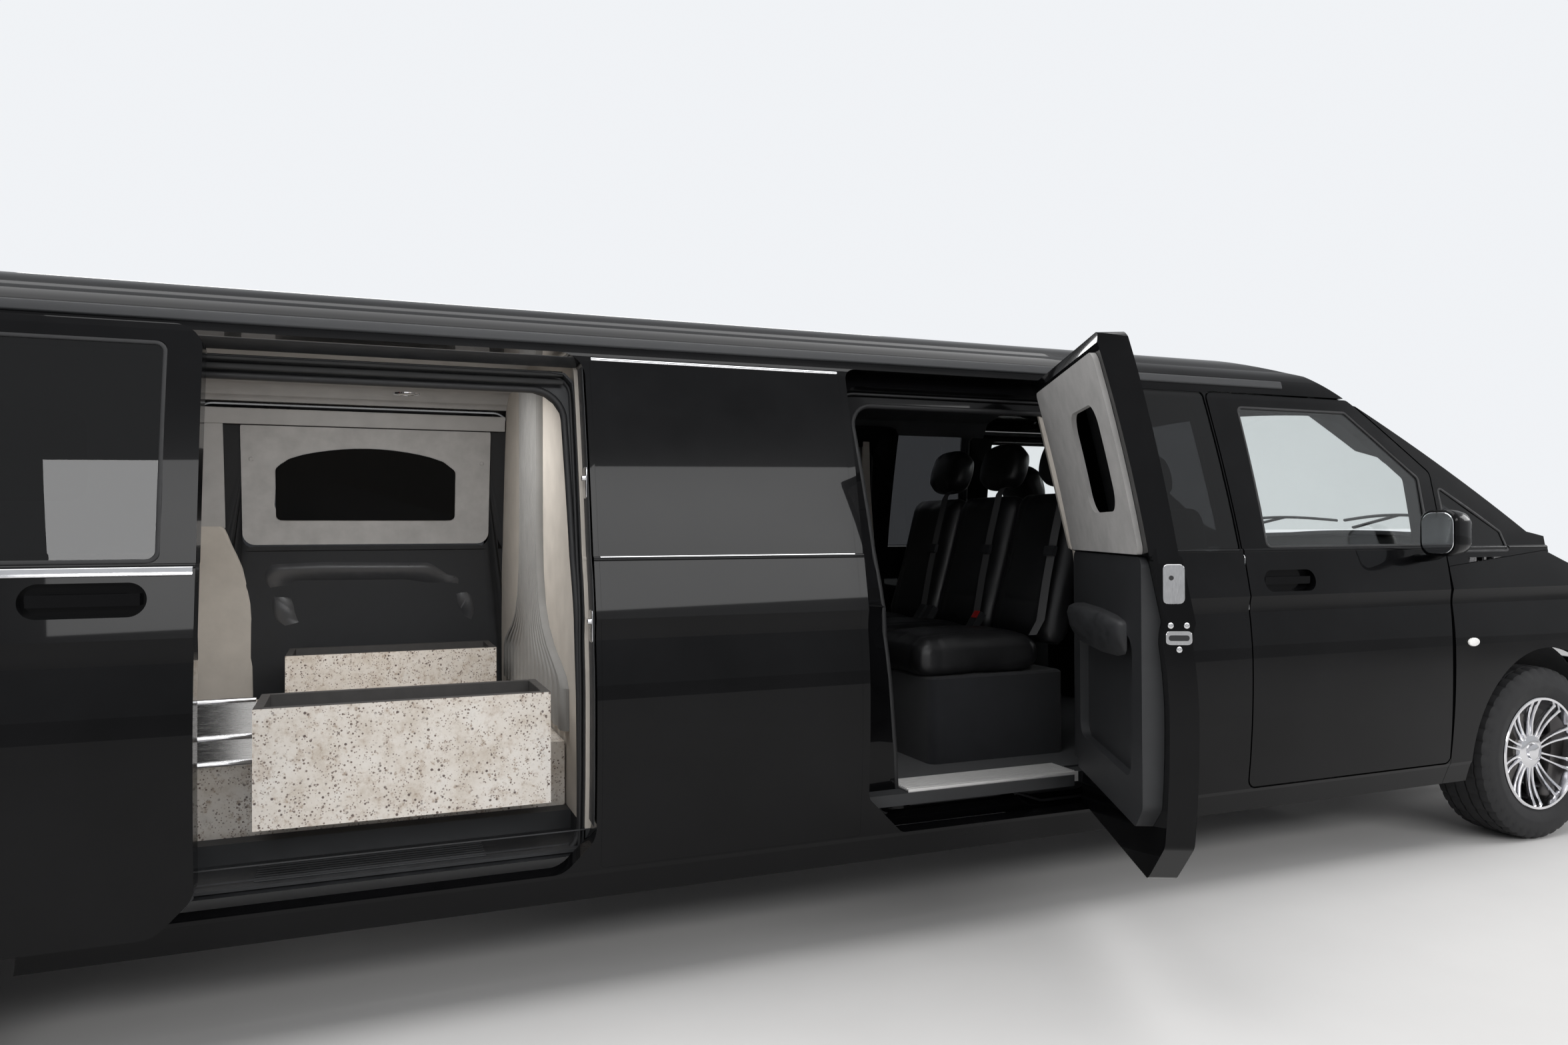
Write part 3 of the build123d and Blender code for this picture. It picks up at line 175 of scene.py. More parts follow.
def paint():
    s = Shader("black_paint", 0.25, Coat_Weight=0.6, Coat_Roughness=0.02, Coat_IOR=1.3,
               Specular_IOR_Level=0.05)
    haze = s.noise(3, 4)
    s.colour(shades(s, haze, (0.003, 0.003, 0.0034), 0.3)).rough(haze, 0.18, 0.28)
    return s.bump(s.noise(9, 2, 0.4), 0.03, 0.004).material


def glass(name, tint):
    s = Shader(name, 0, Transmission_Weight=1, IOR=1.45)
    return s.colour(shades(s, s.noise(2), tint, 0.01)).material


def granite():
    s = Shader("granite", 0.3, Coat_Weight=0.25, Coat_Roughness=0.1)
    cloud = s.ramp(s.noise(9, 7, 0.72), (0.34, (0.52, 0.46, 0.39)), (0.48, (0.64, 0.59, 0.53)),
                   (0.62, (0.69, 0.65, 0.6)), (0.75, (0.58, 0.55, 0.51)))
    patches = s.range(s.noise(30, 6, 0.75), 0, 0.55, 0.52, 0.64)
    cloud = s.mix(patches, cloud, (0.43, 0.35, 0.28))
    veins = s.range(s.noise(60, 5, 0.7), 0, 1, 0.58, 0.66)
    marks = s.mix(veins, cloud, (0.36, 0.29, 0.23))
    for scale, patch, size, shade in (
            (52, 11, 0.14, (0.1, 0.07, 0.06)), (88, 17, 0.19, (0.16, 0.12, 0.1)),
            (150, 26, 0.24, (0.24, 0.19, 0.16))):
        dots = s.range(s.cells(scale), 1, 0, size, size + 0.08)
        chance = s.range(s.noise(patch, 2), 0, 1, 0.47, 0.54)
        product = s.node("Math")
        product.operation = "MULTIPLY"
        for index, value in enumerate((dots, chance)):
            s.link(value, product.inputs[index])
        marks = s.mix(product.outputs[0], marks, shade)
    s.colour(marks)
    return s.rough(s.noise(90), 0.24, 0.38).bump(s.noise(220), 0.06, 0.0006).material


def leather():
    s = Shader("black_leather", 0.42, Specular_IOR_Level=0.5)
    wear = s.noise(7, 4)
    s.colour(shades(s, wear, (0.012, 0.012, 0.013), 0.35)).rough(wear, 0.36, 0.5)
    return s.bump(s.cells(650, "SMOOTH_F1"), 0.35, 0.0005).material


def carpet(name, colour):
    s = Shader(name, 0.95, Sheen_Weight=0.15, Sheen_Roughness=0.5)
    tuft = s.noise(900, 2)
    patch = s.noise(14, 3)
    s.colour(s.mix(tuft, shades(s, patch, colour, 0.25), tuple(c * 0.45 for c in colour)))
    return s.bump(tuft, 0.7, 0.002).material


def lens(name, colour):
    s = Shader(name, 0.06, Transmission_Weight=0.85, IOR=1.49, Coat_Weight=1)
    ribs = s.noise(30, 2, 0.4, (1, 1, 6))
    s.colour(shades(s, ribs, colour, 0.12))
    return s.bump(ribs, 0.25, 0.001).material


def brushed(name, colour, rough, stretch, metal=1):
    s = Shader(name, rough, metal)
    hairs = s.noise(700, 2, 0.5, stretch)
    s.colour(shades(s, hairs, colour, 0.06)).rough(hairs, rough * 0.8, rough * 1.2)
    return s.bump(hairs, 0.12, 0.0002).material


FINISH = {made.name.split(".")[0]: made for made in (
    paint(), glass("clear_glass", (0.9, 0.93, 0.92)), glass("tinted_glass", (0.035, 0.036, 0.038)),
    plain("tyre_rubber", (0.016, 0.016, 0.017), 0.78, scale=18, spread=0.3, grain=500, bump=0.3),
    plain("polished_alloy", (0.78, 0.78, 0.8), 0.12, 1, 14, 0.05, 200, 0.02),
    lens("lamp_lens", (0.92, 0.94, 0.95)), lens("red_lens", (0.45, 0.01, 0.012)),
    plain("bright_trim", (0.8, 0.8, 0.82), 0.1, 1, 20, 0.04, 150, 0.02),
    plain("dark_plastic", (0.022, 0.023, 0.025), 0.55, scale=25, spread=0.15, grain=1100, bump=0.5),
    leather(),
    plain("beige_lining", (0.5, 0.46, 0.41), 0.85, scale=12, spread=0.07, grain=1300, bump=0.45),
    plain("grey_lining", (0.42, 0.41, 0.4), 0.8, scale=12, spread=0.07, grain=1200, bump=0.4),
    granite(), brushed("chrome_rail", (0.82, 0.82, 0.84), 0.12, (0.05, 1, 1)),
    plain("floor_steel", (0.03, 0.031, 0.033), 0.6, scale=10, spread=0.2, grain=400, bump=0.4),
    plain("chassis_black", (0.012, 0.012, 0.012), 0.7, scale=8, spread=0.3, grain=240, bump=0.4),
    plain("cast_knuckle", (0.2, 0.19, 0.18), 0.55, 0.8, 30, 0.15, 260, 0.4),
    plain("exhaust_steel", (0.34, 0.32, 0.3), 0.4, 1, 20, 0.15, 200, 0.2))}
FINISH["granite_board"] = FINISH["granite"]
rubber = plain("seal_rubber", (0.012, 0.012, 0.013), 0.6, scale=30, spread=0.2, grain=800, bump=0.25)
carpet_dark = carpet("dark_carpet", (0.013, 0.014, 0.018))
webbing = brushed("belt_webbing", (0.11, 0.11, 0.112), 0.7, (1, 1, 6), 0)
red_plastic = plain("red_plastic", (0.45, 0.012, 0.01), 0.35)


def two_tone(name, edge):
    """Grey lining above a height, dark moulded plastic below it."""
    s = Shader(name, 0.6)
    parts = s.node("SeparateXYZ")
    s.link(s.place, parts.inputs[0])
    above = s.range(parts.outputs["Z"], 0, 1, edge - 0.0005, edge + 0.0005)
    soft = s.noise(14)
    light, dark = (shades(s, soft, colour, 0.1) for colour in ((0.42, 0.41, 0.4), (0.022, 0.023, 0.025)))
    s.link(s.range(above, 0.5, 0.8, 0, 1), s.shader.inputs["Roughness"])
    return s.colour(s.mix(above, dark, light)).bump(s.noise(1150), 0.45, 0.0004).material


door_lining = two_tone("door_lining", 1.162)
slide_lining = two_tone("slide_lining", 1.182)
for label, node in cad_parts.items():
    for slot in node.material_slots:
        name = slot.material.name.split(".")[0]
        if label.startswith("rear_trim"):
            slot.material = door_lining
        elif label == "sliding_trims":
            slot.material = slide_lining
        elif name in FINISH:
            slot.material = FINISH[name]


# Mesh helpers

shift = Matrix.Translation
UNMOVED = Matrix.Identity(4)


def turned(degrees, axis):
    return Matrix.Rotation(radians(degrees), 4, axis)


def facing(way):
    """Ahead or to the left for 1, turned about for -1."""
    return Matrix.Rotation(0 if way > 0 else pi, 4, "Z")


def linked(name, data):
    """A new object in the scene."""
    made = bpy.data.objects.new(name, data)
    scene.collection.objects.link(made)
    return made


def piece(name, mesh, body, material, smooth=40):
    """Put a mesh in the scene as a piece that rides on a body."""
    made = linked(name, mesh)
    if not mesh.materials:
        mesh.materials.append(material)
    if smooth:
        for face in mesh.polygons:
            face.use_smooth = True
        mesh.set_sharp_from_angle(angle=radians(smooth))
    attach(made, body)
    return made


def moved(part, matrix):
    vertices, faces = part
    return [matrix @ Vector(v) for v in vertices], faces


def from_parts(name, parts):
    """One mesh from (vertices, faces) parts."""
    vertices, faces = [], []
    for part_vertices, part_faces in parts:
        start = len(vertices)
        vertices += [tuple(v) for v in part_vertices]
        faces += [tuple(start + i for i in face) for face in part_faces]
    mesh = bpy.data.meshes.new(name)
    mesh.from_pydata(vertices, [], faces)
    mesh.update()
    work = bmesh.new()
    work.from_mesh(mesh)
    bmesh.ops.recalc_face_normals(work, faces=work.faces)
    work.to_mesh(mesh)
    work.free()
    return mesh


def loft(rings, caps=True, loop=False):
    """Skin a list of rings of equal length."""
    count = len(rings[0])
    vertices = [v for ring in rings for v in ring]
    faces = []
    for row in range(len(rings) - (0 if loop else 1)):
        a, b = row * count, (row + 1) % len(rings) * count
        faces += [(a + i, a + (i + 1) % count, b + (i + 1) % count, b + i) for i in range(count)]
    if caps and not loop:
        faces.append(tuple(range(count))[::-1])
        faces.append(tuple(len(vertices) - count + i for i in range(count)))
    return vertices, faces


def turns(count, start=0):
    """Evenly spaced angles round a circle."""
    return [2 * pi * (step + start) / count for step in range(count)]


def disc(profile, steps, place):
    """Turn a (height, radius) profile round the local Z axis of a place."""
    return loft([[place @ Vector((r * cos(turn), r * sin(turn), h)) for h, r in profile]
                 for turn in turns(steps)], loop=True)


def rounded(width, height, radius, steps=4):
    """A rounded rectangle as a list of points, centred on the origin."""
    points = []
    for corner, (sx, sz) in enumerate(((1, 1), (-1, 1), (-1, -1), (1, -1))):
        for step in range(steps + 1):
            turn = pi / 2 * (corner + step / steps)
            points.append((sx * (width / 2 - radius) + radius * cos(turn),
                           sz * (height / 2 - radius) + radius * sin(turn)))
    return points


# Tyres: ribbed tread with cross cuts, ringed side walls

AXLE = Matrix(((0, 1, 0), (0, 0, 1), (1, 0, 0))).to_4x4()


def tyre_parts():
    half = [(0.1065, 0.222, 0), (0.113, 0.236, 0), (0.1185, 0.262, 0), (0.119, 0.27, 0),
            (0.1178, 0.274, 0), (0.1172, 0.29, 0), (0.112, 0.308, 0), (0.1085, 0.316, 1),
            (0.104, 0.326, 1), (0.0965, 0.3345, 1), (0.082, 0.3375, 1), (0.0705, 0.3385, 1),
            (0.07, 0.3315, 0), (0.063, 0.3315, 0), (0.0625, 0.3388, 2), (0.027, TYRE_R, 2),
            (0.0265, 0.3315, 0), (0.0195, 0.3315, 0), (0.019, TYRE_R, 3), (0, TYRE_R, 3)]
    row = half + [(-y, r, kind) for y, r, kind in half[-2::-1]]
    inner = [(-0.1, 0.226, 0), (-0.104, 0.262, 0), (-0.098, 0.305, 0), (0, 0.322, 0), (0.098, 0.305, 0),
             (0.104, 0.262, 0), (0.1, 0.226, 0)]
    rings = []
    for step, turn in enumerate(turns(168)):
        ring = []
        for y, r, kind in row + inner:
            cut = (0, 0.0055 * (step % 4 == 0), 0.005 * (step % 6 == (0 if y > 0 else 3)),
                   0.003 * (step % 8 == 4))[kind]
            lean = 0.02 * (abs(y) / 0.1) if kind else 0
            ring.append(((r - cut) * sin(turn + lean), y, (r - cut) * cos(turn + lean)))
        rings.append(ring)
    return loft(rings, loop=True)


SPOKE = ((-0.5, -1), (-0.5, -0.18), (-0.32, 0), (0.32, 0), (0.5, -0.18), (0.5, -1))


def rim_parts():
    barrel = [(0.112, 0.21), (0.1125, 0.219), (0.1095, 0.2216), (0.104, 0.2205), (0.096, 0.2155),
              (-0.096, 0.2155), (-0.108, 0.221), (-0.112, 0.221), (-0.112, 0.206), (-0.09, 0.204),
              (0.06, 0.203), (0.08, 0.206), (0.098, 0.2085)]
    parts = [disc(barrel, 96, AXLE)]
    hub = [(0.04, 0), (0.04, 0.066), (0.056, 0.07), (0.068, 0.066), (0.074, 0.052), (0.075, 0.034),
           (0.082, 0.032), (0.085, 0.026), (0.086, 0)]
    parts.append(disc(hub, 64, AXLE))
    for spoke in turns(10):
        for lean in (-1, 1):
            rings = []
            for share in (0, 0.08, 0.2, 0.4, 0.6, 0.8, 0.93, 1):
                radius = 0.056 + share * (0.2075 - 0.056)
                side = lean * (0.0075 + 0.0115 * share)
                width = 0.0125 - 0.0035 * sin(pi * share) + 0.005 * (share in (0, 1))
                face = 0.07 + 0.026 * share - 0.012 * sin(pi * share)
                depth = 0.024 - 0.008 * share
                rings.append([Vector((side + a * width, face + b * depth, radius)) for a, b in SPOKE])
            parts.append(moved(loft(rings), Matrix.Rotation(spoke, 3, "Y")))
    nut = [(0.05, 0), (0.05, 0.0105), (0.068, 0.01), (0.071, 0.006), (0.071, 0)]
    for bolt in turns(5, 0.5):
        parts.append(disc(nut, 12, Matrix.Rotation(bolt, 4, "Y") @ shift((0, 0, 0.054)) @ AXLE))
    return parts


tyre_mesh = from_parts("tyre", [tyre_parts()])
rim_mesh = from_parts("rim", rim_parts())
for end, x in (("front", FRONT_AXLE), ("rear", REAR_AXLE)):
    for side, way in (("left", 1), ("right", -1)):
        for kind, mesh, slot in (("tyre", tyre_mesh, "tyre_rubber"), ("rim", rim_mesh, "polished_alloy")):
            placed = mesh.copy()
            placed.transform(shift((x, way * TRACK_Y, TYRE_R)) @ facing(way))
            made = piece(f"{kind}_detail_{end}_{side}", placed, f"wheel_{end[0]}{side[0]}", FINISH[slot],
                         30)
            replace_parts(made, f"{kind}_{end}_{side}")


# Seats: padded pieces of leather, blown up a little as cloth


def pad_mesh(name, width, depth, height, edge, crown, oval=0):
    """A closed pad, rounded at its edges, crowned on top, with sides that pull in."""
    work = bmesh.new()
    bmesh.ops.create_cube(work, size=1)
    bmesh.ops.subdivide_edges(work, edges=work.edges[:], cuts=11, use_grid_fill=True)
    for v in work.verts:
        u, w, t = v.co.x * 2, v.co.y * 2, v.co.z * 2
        size = Vector((depth / 2, width / 2, height / 2))
        point = Vector((u * size.x, w * size.y, t * size.z))
        core = Vector([max(-s + edge, min(s - edge, p)) for s, p in zip(size, point)])
        out = point - core
        if out.length > 0:
            point = core + out.normalized() * min(edge, out.length)
        if t > 0:
            point.z += crown * (1 - u * u) * (1 - w * w)
        point.y *= 1 - oval * u * u
        point.x *= 1 - oval * w * w * 0.5
        v.co = point
    mesh = bpy.data.meshes.new(name)
    work.to_mesh(mesh)
    work.free()
    return mesh


PUFFED = []
CLOTH_STEPS = 20
CLOTH = {"quality": 5, "mass": 0.35, "tension_stiffness": 12, "compression_stiffness": 12,
         "shear_stiffness": 6, "bending_stiffness": 0.5, "use_pressure": True, "uniform_pressure_force": 4}


def puff(made, voxel, cap):
    """Queue a pad for the cloth run."""
    remesh = made.modifiers.new("Remesh", "REMESH")
    remesh.mode = "VOXEL"
    remesh.voxel_size = voxel
    apply_modifiers(made)
    PUFFED.append((made, cap))


def apply_modifiers(made):
    """Bake a piece's modifiers into its mesh."""
    graph = bpy.context.evaluated_depsgraph_get()
    baked = bpy.data.meshes.new_from_object(made.evaluated_get(graph))
    made.modifiers.clear()
    made.data = baked


def run_cloth():
    """Blow up every queued pad at once, and cap how far its points move."""
    for made, cap in PUFFED:
        settings = made.modifiers.new("Cloth", "CLOTH").settings
        for setting, value in CLOTH.items():
            setattr(settings, setting, value)
        settings.effector_weights.gravity = 0
    for step in range(1, CLOTH_STEPS + 1):
        scene.frame_set(step)
    graph = bpy.context.evaluated_depsgraph_get()
    for made, cap in PUFFED:
        blown = bpy.data.meshes.new_from_object(made.evaluated_get(graph))
        made.modifiers.clear()
        for vertex, new in zip(made.data.vertices, blown.vertices):
            step = new.co - vertex.co
            if step.length > cap:
                step *= cap / step.length
            vertex.co += step
    scene.frame_set(1)


def seat_place(x, y, way):
    """Where a seat stands: X ahead of the sitter, origin on the floor under the seat back's foot."""
    return shift(spot(x, y, 0)) @ facing(way)


def seam(mesh, test, depth, width):
    """Press a sewn groove into a pad along test(point) = 0."""
    for v in mesh.vertices:
        away = abs(test(v.co))
        if away < width:
            v.co -= v.normal * depth * (1 - away / width) ** 1.5


SEAT_RAKE = -16
SEATS = []


def seat(name, x, y, width, way, top):
    """Cushion, back and head restraint of one seat."""
    place = seat_place(x, y, way)
    back_turn = shift((0, 0, top - 0.03)) @ turned(SEAT_RAKE, "Y")
    upright = turned(90, "Y") @ turned(180, "X") @ turned(180, "Z")
    for kind, size, local in (
            ("cushion", (width - 0.012, 0.5, 0.115, 0.045, 0.018), shift((0.25, 0, top - 0.06))),
            ("back", (width - 0.012, 0.58, 0.1, 0.045, 0.016),
             back_turn @ shift((-0.055, 0, 0.29)) @ upright),
            ("headrest", (0.27, 0.2, 0.09, 0.043, 0.012, 0.24),
             back_turn @ shift((-0.055, 0, 0.7)) @ upright)):
        one = piece(f"{name}_{kind}", pad_mesh(kind, *size), "body_shell", FINISH["black_leather"],
                    0)
        puff(one, *((0.01, 0.006) if kind == "headrest" else (0.014, 0.009)))
        SEATS.append((one, kind, place @ local, width))


SEAMS = {"cushion": (0.29, 0.16), "back": (0.3, -0.15)}
BENCH_X, BENCH_Y, BENCH_TOP = -2.11, (-0.413, 0, 0.413), 0.86
FRONT_Y = (("driver", 0.4), ("mate", -0.4))
for index, y in enumerate(BENCH_Y):
    seat(f"bench_{index + 1}", BENCH_X, y, 0.41, -1, BENCH_TOP)
for name, y in FRONT_Y:
    seat(name, -1.25, y, 0.5, 1, 0.8)
run_cloth()
for one, kind, place, width in SEATS:
    if kind in SEAMS:
        aside, ahead = SEAMS[kind]
        for offset in (-aside, aside):
            seam(one.data, lambda p: p.y - offset * width, 0.005, 0.012)
        seam(one.data, lambda p: p.x - ahead, 0.004, 0.01)
    one.data.transform(place)
    smooth = one.modifiers.new("Smooth", "SUBSURF")
    smooth.levels = 1
    smooth.render_levels = 1
    apply_modifiers(one)
    for face in one.data.polygons:
        face.use_smooth = True


def seat_base(name, low, high, material):
    """A block with rounded upright corners and eased edges."""
    size = Vector(high) - Vector(low)
    middle = (Vector(high) + Vector(low)) / 2
    ring = rounded(size.x, size.y, 0.03, 5)
    rings = []
    ease = min(0.006, size.z * 0.3)
    for z, inset in ((0, ease), (ease, 0), (size.z - ease, 0), (size.z, ease)):
        rings.append([(middle.x + px * (1 - 2 * inset / size.x), middle.y + py * (1 - 2 * inset / size.y),
                       low[2] + z) for px, py in ring])
    return piece(name, from_parts(name, [loft(rings)]), "body_shell", material)


FLOOR_Z = 0.4405
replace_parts(seat_base("bench_base", (at(-2.56), -0.6, FLOOR_Z), (at(-2.02), 0.6, 0.735), carpet_dark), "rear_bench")
bases = [seat_base(f"{name}_base", (at(-1.23), y - 0.2, FLOOR_Z), (at(-0.8), y + 0.2, 0.68),
                   FINISH["dark_plastic"]) for name, y in FRONT_Y]
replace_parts(bases[0], "front_seats")


# Trims that follow the body side


def eased(points, radius, steps=5):
    """A closed outline of (x, z) points with its corners rounded."""
    made = []
    for index, corner in enumerate(points):
        corner = Vector(corner)
        before = (Vector(points[index - 1]) - corner).normalized()
        after = (Vector(points[(index + 1) % len(points)]) - corner).normalized()
        half = before.angle(after) / 2
        centre = corner + (before + after).normalized() * (radius / sin(half))
        reach = radius / tan(half)
        start, end = corner + before * reach - centre, corner + after * reach - centre
        made += [centre + start.lerp(end, step / steps).normalized() * radius for step in range(steps + 1)]
    return made


def divided(points, step, loop=True):
    """The same path with no run longer than a step."""
    made = []
    ends = points[1:] + points[:1] if loop else points[1:]
    for start, end in zip(points, ends):
        start, end = Vector(start), Vector(end)
        count = max(1, ceil((end - start).length / step))
        made += [start.lerp(end, index / count) for index in range(count)]
    return made if loop else made + [Vector(points[-1])]


def side_out(z):
    """Outward direction of the left body side at a height."""
    return Vector((0, 1, (side_y(z - 0.01) - side_y(z + 0.01)) / 0.02)).normalized()


def on_side(x, z, out=0):
    """A point on the left body side, or the given distance out from it."""
    return spot(x, side_y(z), z) + side_out(z) * out


def swept(path, section, out, loop=False):
    """Sweep a section of (side, out) points along a path; out gives the outward direction at a point."""
    rings = []
    for index, point in enumerate(path):
        before = path[index - 1] if index or loop else point
        after = path[(index + 1) % len(path)] if index < len(path) - 1 or loop else point
        ahead = (after - before).normalized()
        side = ahead.cross(out(point) if callable(out) else Vector(out)).normalized()
        face = side.cross(ahead)
        rings.append([point + side * a + face * b for a, b in section])
    return loft(rings, loop=loop)


def side_strip(points, section, depth, loop=True, step=0.06):
    """A section swept along an outline of (x, z) points on the left body side."""
    path = [on_side(x, z, depth) for x, z in divided(points, step, loop)]
    return swept(path, section, lambda p: side_out(p.z), loop)


def on_plate(corners, depth, place=UNMOVED):
    """A slab over a flat outline of (x, y) points, from z 0 up to a depth, with eased top edges."""
    middle = sum((Vector((x, y, 0)) for x, y in corners), Vector()) / len(corners)
    ease = min(0.0015, depth * 0.4)
    rings = []
    for z, pull in ((0, 0), (depth - ease, 0), (depth, ease)):
        ring = []
        for x, y in corners:
            point = Vector((x, y, 0))
            inward = middle - point
            point += inward * min(0.4, pull / max(inward.length, 1e-6))
            ring.append(place @ (point + Vector((0, 0, z))))
        rings.append(ring)
    return loft(rings)


def block(low, high):
    """An eased block whose corners are given at stations."""
    return brick((at(low[0]), *low[1:]), (at(high[0]), *high[1:]))


def walls(x0, y0, x1, y1, wide, low, high):
    """Four blocks along the inside of a rectangle."""
    return [brick((x0, y0, low), (x1, y0 + wide, high)), brick((x0, y1 - wide, low), (x1, y1, high)),
            brick((x0, y0 + wide, low), (x0 + wide, y1 - wide, high)),
            brick((x1 - wide, y0 + wide, low), (x1, y1 - wide, high))]


def brick(low, high):
    """An eased block between two corners."""
    size = Vector(high) - Vector(low)
    ease = min(0.002, min(size) * 0.25)
    rings = []
    for z, inset in ((low[2], ease), (low[2] + ease, 0), (high[2] - ease, 0), (high[2], ease)):
        rings.append([Vector((low[0] + inset if i in (0, 3) else high[0] - inset,
                              low[1] + inset if i < 2 else high[1] - inset, z)) for i in range(4)])
    return loft(rings)


FLIP = Matrix.Scale(-1, 4, (0, 1, 0))
SLID = shift((-0.9, -0.11, 0))
REAR_PIN = spot(-2.12, -0.926, 0)
REAR_OPENING = 64
OPEN = shift(REAR_PIN) @ turned(REAR_OPENING, "Z") @ shift(-REAR_PIN)
FRONT_DOOR = ((-0.53, 0.35), (-0.53, 1.44), (-0.88, 1.712), (-1.566, 1.712), (-1.52, 1.155), (-1.52, 0.35))
FRONT_WINDOW = ((-0.6, 1.163), (-0.59, 1.42), (-0.905, 1.668), (-1.435, 1.668), (-1.41, 1.163))
REAR_WINDOW = ((-2.12, 1.163), (-2.12, 1.668), (-2.89, 1.668), (-2.89, 1.163))
SLIDE_WINDOW = ((-3.83, 1.163), (-3.83, 1.668), (-4.82, 1.668), (-4.82, 1.163))
QUARTER_PANE = ((-5.01, 1.163), (-5.01, 1.668), (-6.15, 1.668), (-6.19, 1.163))
SAIL = ((-0.504, 1.138), (-0.504, 1.395), (-0.19, 1.215), (-0.16, 1.138))


def middle_and_half(points):
    """Middle of an outline, and half its size."""
    xs, zs = zip(*points)
    return ((min(xs) + max(xs)) / 2, (min(zs) + max(zs)) / 2, (max(xs) - min(xs)) / 2,
            (max(zs) - min(zs)) / 2)


def grown(points, out):
    """An outline pushed out from its middle."""
    mx, mz, half_x, half_z = middle_and_half(points)
    return [(mx + (x - mx) * (1 + out / half_x), mz + (z - mz) * (1 + out / half_z)) for x, z in points]


def flipped(parts):
    """Mirror images of parts, on the right side."""
    return [moved(part, FLIP) for part in parts]


def both(parts):
    """Parts and their mirror images."""
    return parts + flipped(parts)


def on_sliders(part):
    """A part of the shut left sliding door, and its twin on the right one that is slid back."""
    return [part, moved(part, SLID @ FLIP)]


def show(name, parts, slot, smooth=40, body="body_shell", material=None):
    """A piece made of parts, in a slot's finish unless it has its own material."""
    return piece(name, from_parts(name, parts), body, material or FINISH[slot], smooth)


def pair(name, parts, slot, smooth, body, material=None, turn=UNMOVED):
    """A piece on a left body and its mirror image on the right one, which may stand turned at rest."""
    for side, move in (("left", UNMOVED), ("right", turn @ FLIP)):
        show(f"{name}_{side}", [moved(part, move) for part in parts], slot, smooth,
             body=f"{body}_{side[0]}", material=material)


# Outlines measured on the inside of the doorways
REAR_REBATE = ((-2.04, 0.3), (-2.04, 1.705), (-2.936, 1.705), (-2.936, 0.44), (-2.86, 0.35),
               (-2.44, 0.35), (-2.27, 0.3))
REAR_APERTURE = ((-2.078, 0.374), (-2.084, 1.12), (-2.122, 1.655), (-2.893, 1.655), (-2.857, 1.133),
                 (-2.843, 0.92), (-2.797, 0.374))
SLIDE_REBATE = ((-3.7735, 0.335), (-3.7735, 1.69), (-4.885, 1.69), (-4.885, 0.335))
SLIDE_APERTURE = ((-3.779, 0.349), (-3.786, 0.9), (-3.803, 1.645), (-4.86, 1.645), (-4.86, 0.349))
SLIDE_FRAME = ((-3.766, 0.37), (-3.766, 1.698), (-4.8, 1.698), (-4.8, 0.37))
SLIDE_PANEL = ((-3.83, 1.185), (-3.83, 1.668), (-4.74, 1.668), (-4.74, 1.185))
SLIDE_POCKET = ((-3.86, 0.795), (-3.88, 1.14), (-4.64, 1.14), (-4.725, 0.985), (-4.705, 0.795))
POCKET_RIDGE = ((-3.876, 0.812), (-3.88, 0.93), (-3.943, 1.064), (-4.064, 1.128), (-4.463, 1.134),
                (-4.68, 1.128), (-4.633, 0.902), (-4.583, 0.835))
POCKET_BOWL = ((-3.928, 0.828), (-3.93, 0.9), (-3.999, 1.019), (-4.151, 1.048), (-4.543, 1.053),
               (-4.599, 1.043), (-4.54, 0.899), (-4.463, 0.839))
INSERT_ARCH = [(-3.971 - 0.646 * i / 14, 1.495 + 0.079 * sin(pi * i / 14) ** 0.55) for i in range(15)]
SLIDE_INSERT = ((-3.971, 1.3), *INSERT_ARCH, (-4.617, 1.3))


def rays(points, count):
    """An outline of (x, z) points resampled where evenly turned rays from its middle meet it."""
    mx, mz, half_x, half_z = middle_and_half(points)
    made = []
    for turn in turns(count, 0.5):
        dx, dz = half_x * cos(turn), half_z * sin(turn)
        reach = 0
        for (x0, z0), (x1, z1) in zip(points, points[1:] + points[:1]):
            ex, ez = x1 - x0, z1 - z0
            cross = dx * ez - dz * ex
            if abs(cross) < 1e-12:
                continue
            far = ((x0 - mx) * ez - (z0 - mz) * ex) / cross
            along = ((x0 - mx) * dz - (z0 - mz) * dx) / cross
            if -1e-6 <= along <= 1 + 1e-6 and far > reach:
                reach = far
        made.append((mx + dx * reach, mz + dz * reach))
    return made


def relief(rows, count=160, loop=False):
    """Skin outlines on the left body side, each (outline, corner radius, depth inside the skin)."""
    return loft([[on_side(x, z, -depth) for x, z in rays(eased(points, radius, 8), count)]
                 for points, radius, depth in rows], loop=loop)


def edging(points, out, radius, section, depth, steps=5):
    """A section swept along an outline that is pushed out and has its corners rounded."""
    return side_strip(eased(grown(points, out), radius, steps), section, depth)


# Gloss door surrounds stepped inward from the body side, with rubber seals on their inner edges
seal = rounded(0.018, 0.02, 0.008, 3)
lip = rounded(0.008, 0.01, 0.003, 2)
bead = rounded(0.011, 0.006, 0.0025, 2)
rear_ring = relief([
    (grown(REAR_REBATE, 0.04), 0.03, 0.0755), (REAR_REBATE, 0.05, 0.0755), (REAR_REBATE, 0.05, 0.126),
    (REAR_APERTURE, 0.07, 0.13), (REAR_APERTURE, 0.07, 0.15), (grown(REAR_REBATE, 0.04), 0.03, 0.15)],
    loop=True)
slide_ring = relief([
    (grown(SLIDE_REBATE, 0.001), 0.03, 0.0724), (SLIDE_REBATE, 0.05, 0.0724), (SLIDE_REBATE, 0.05, 0.1),
    (SLIDE_APERTURE, 0.085, 0.104), (SLIDE_APERTURE, 0.085, 0.122),
    (grown(SLIDE_REBATE, 0.001), 0.03, 0.122)], loop=True)
show("door_surrounds", both([rear_ring]), "black_paint")
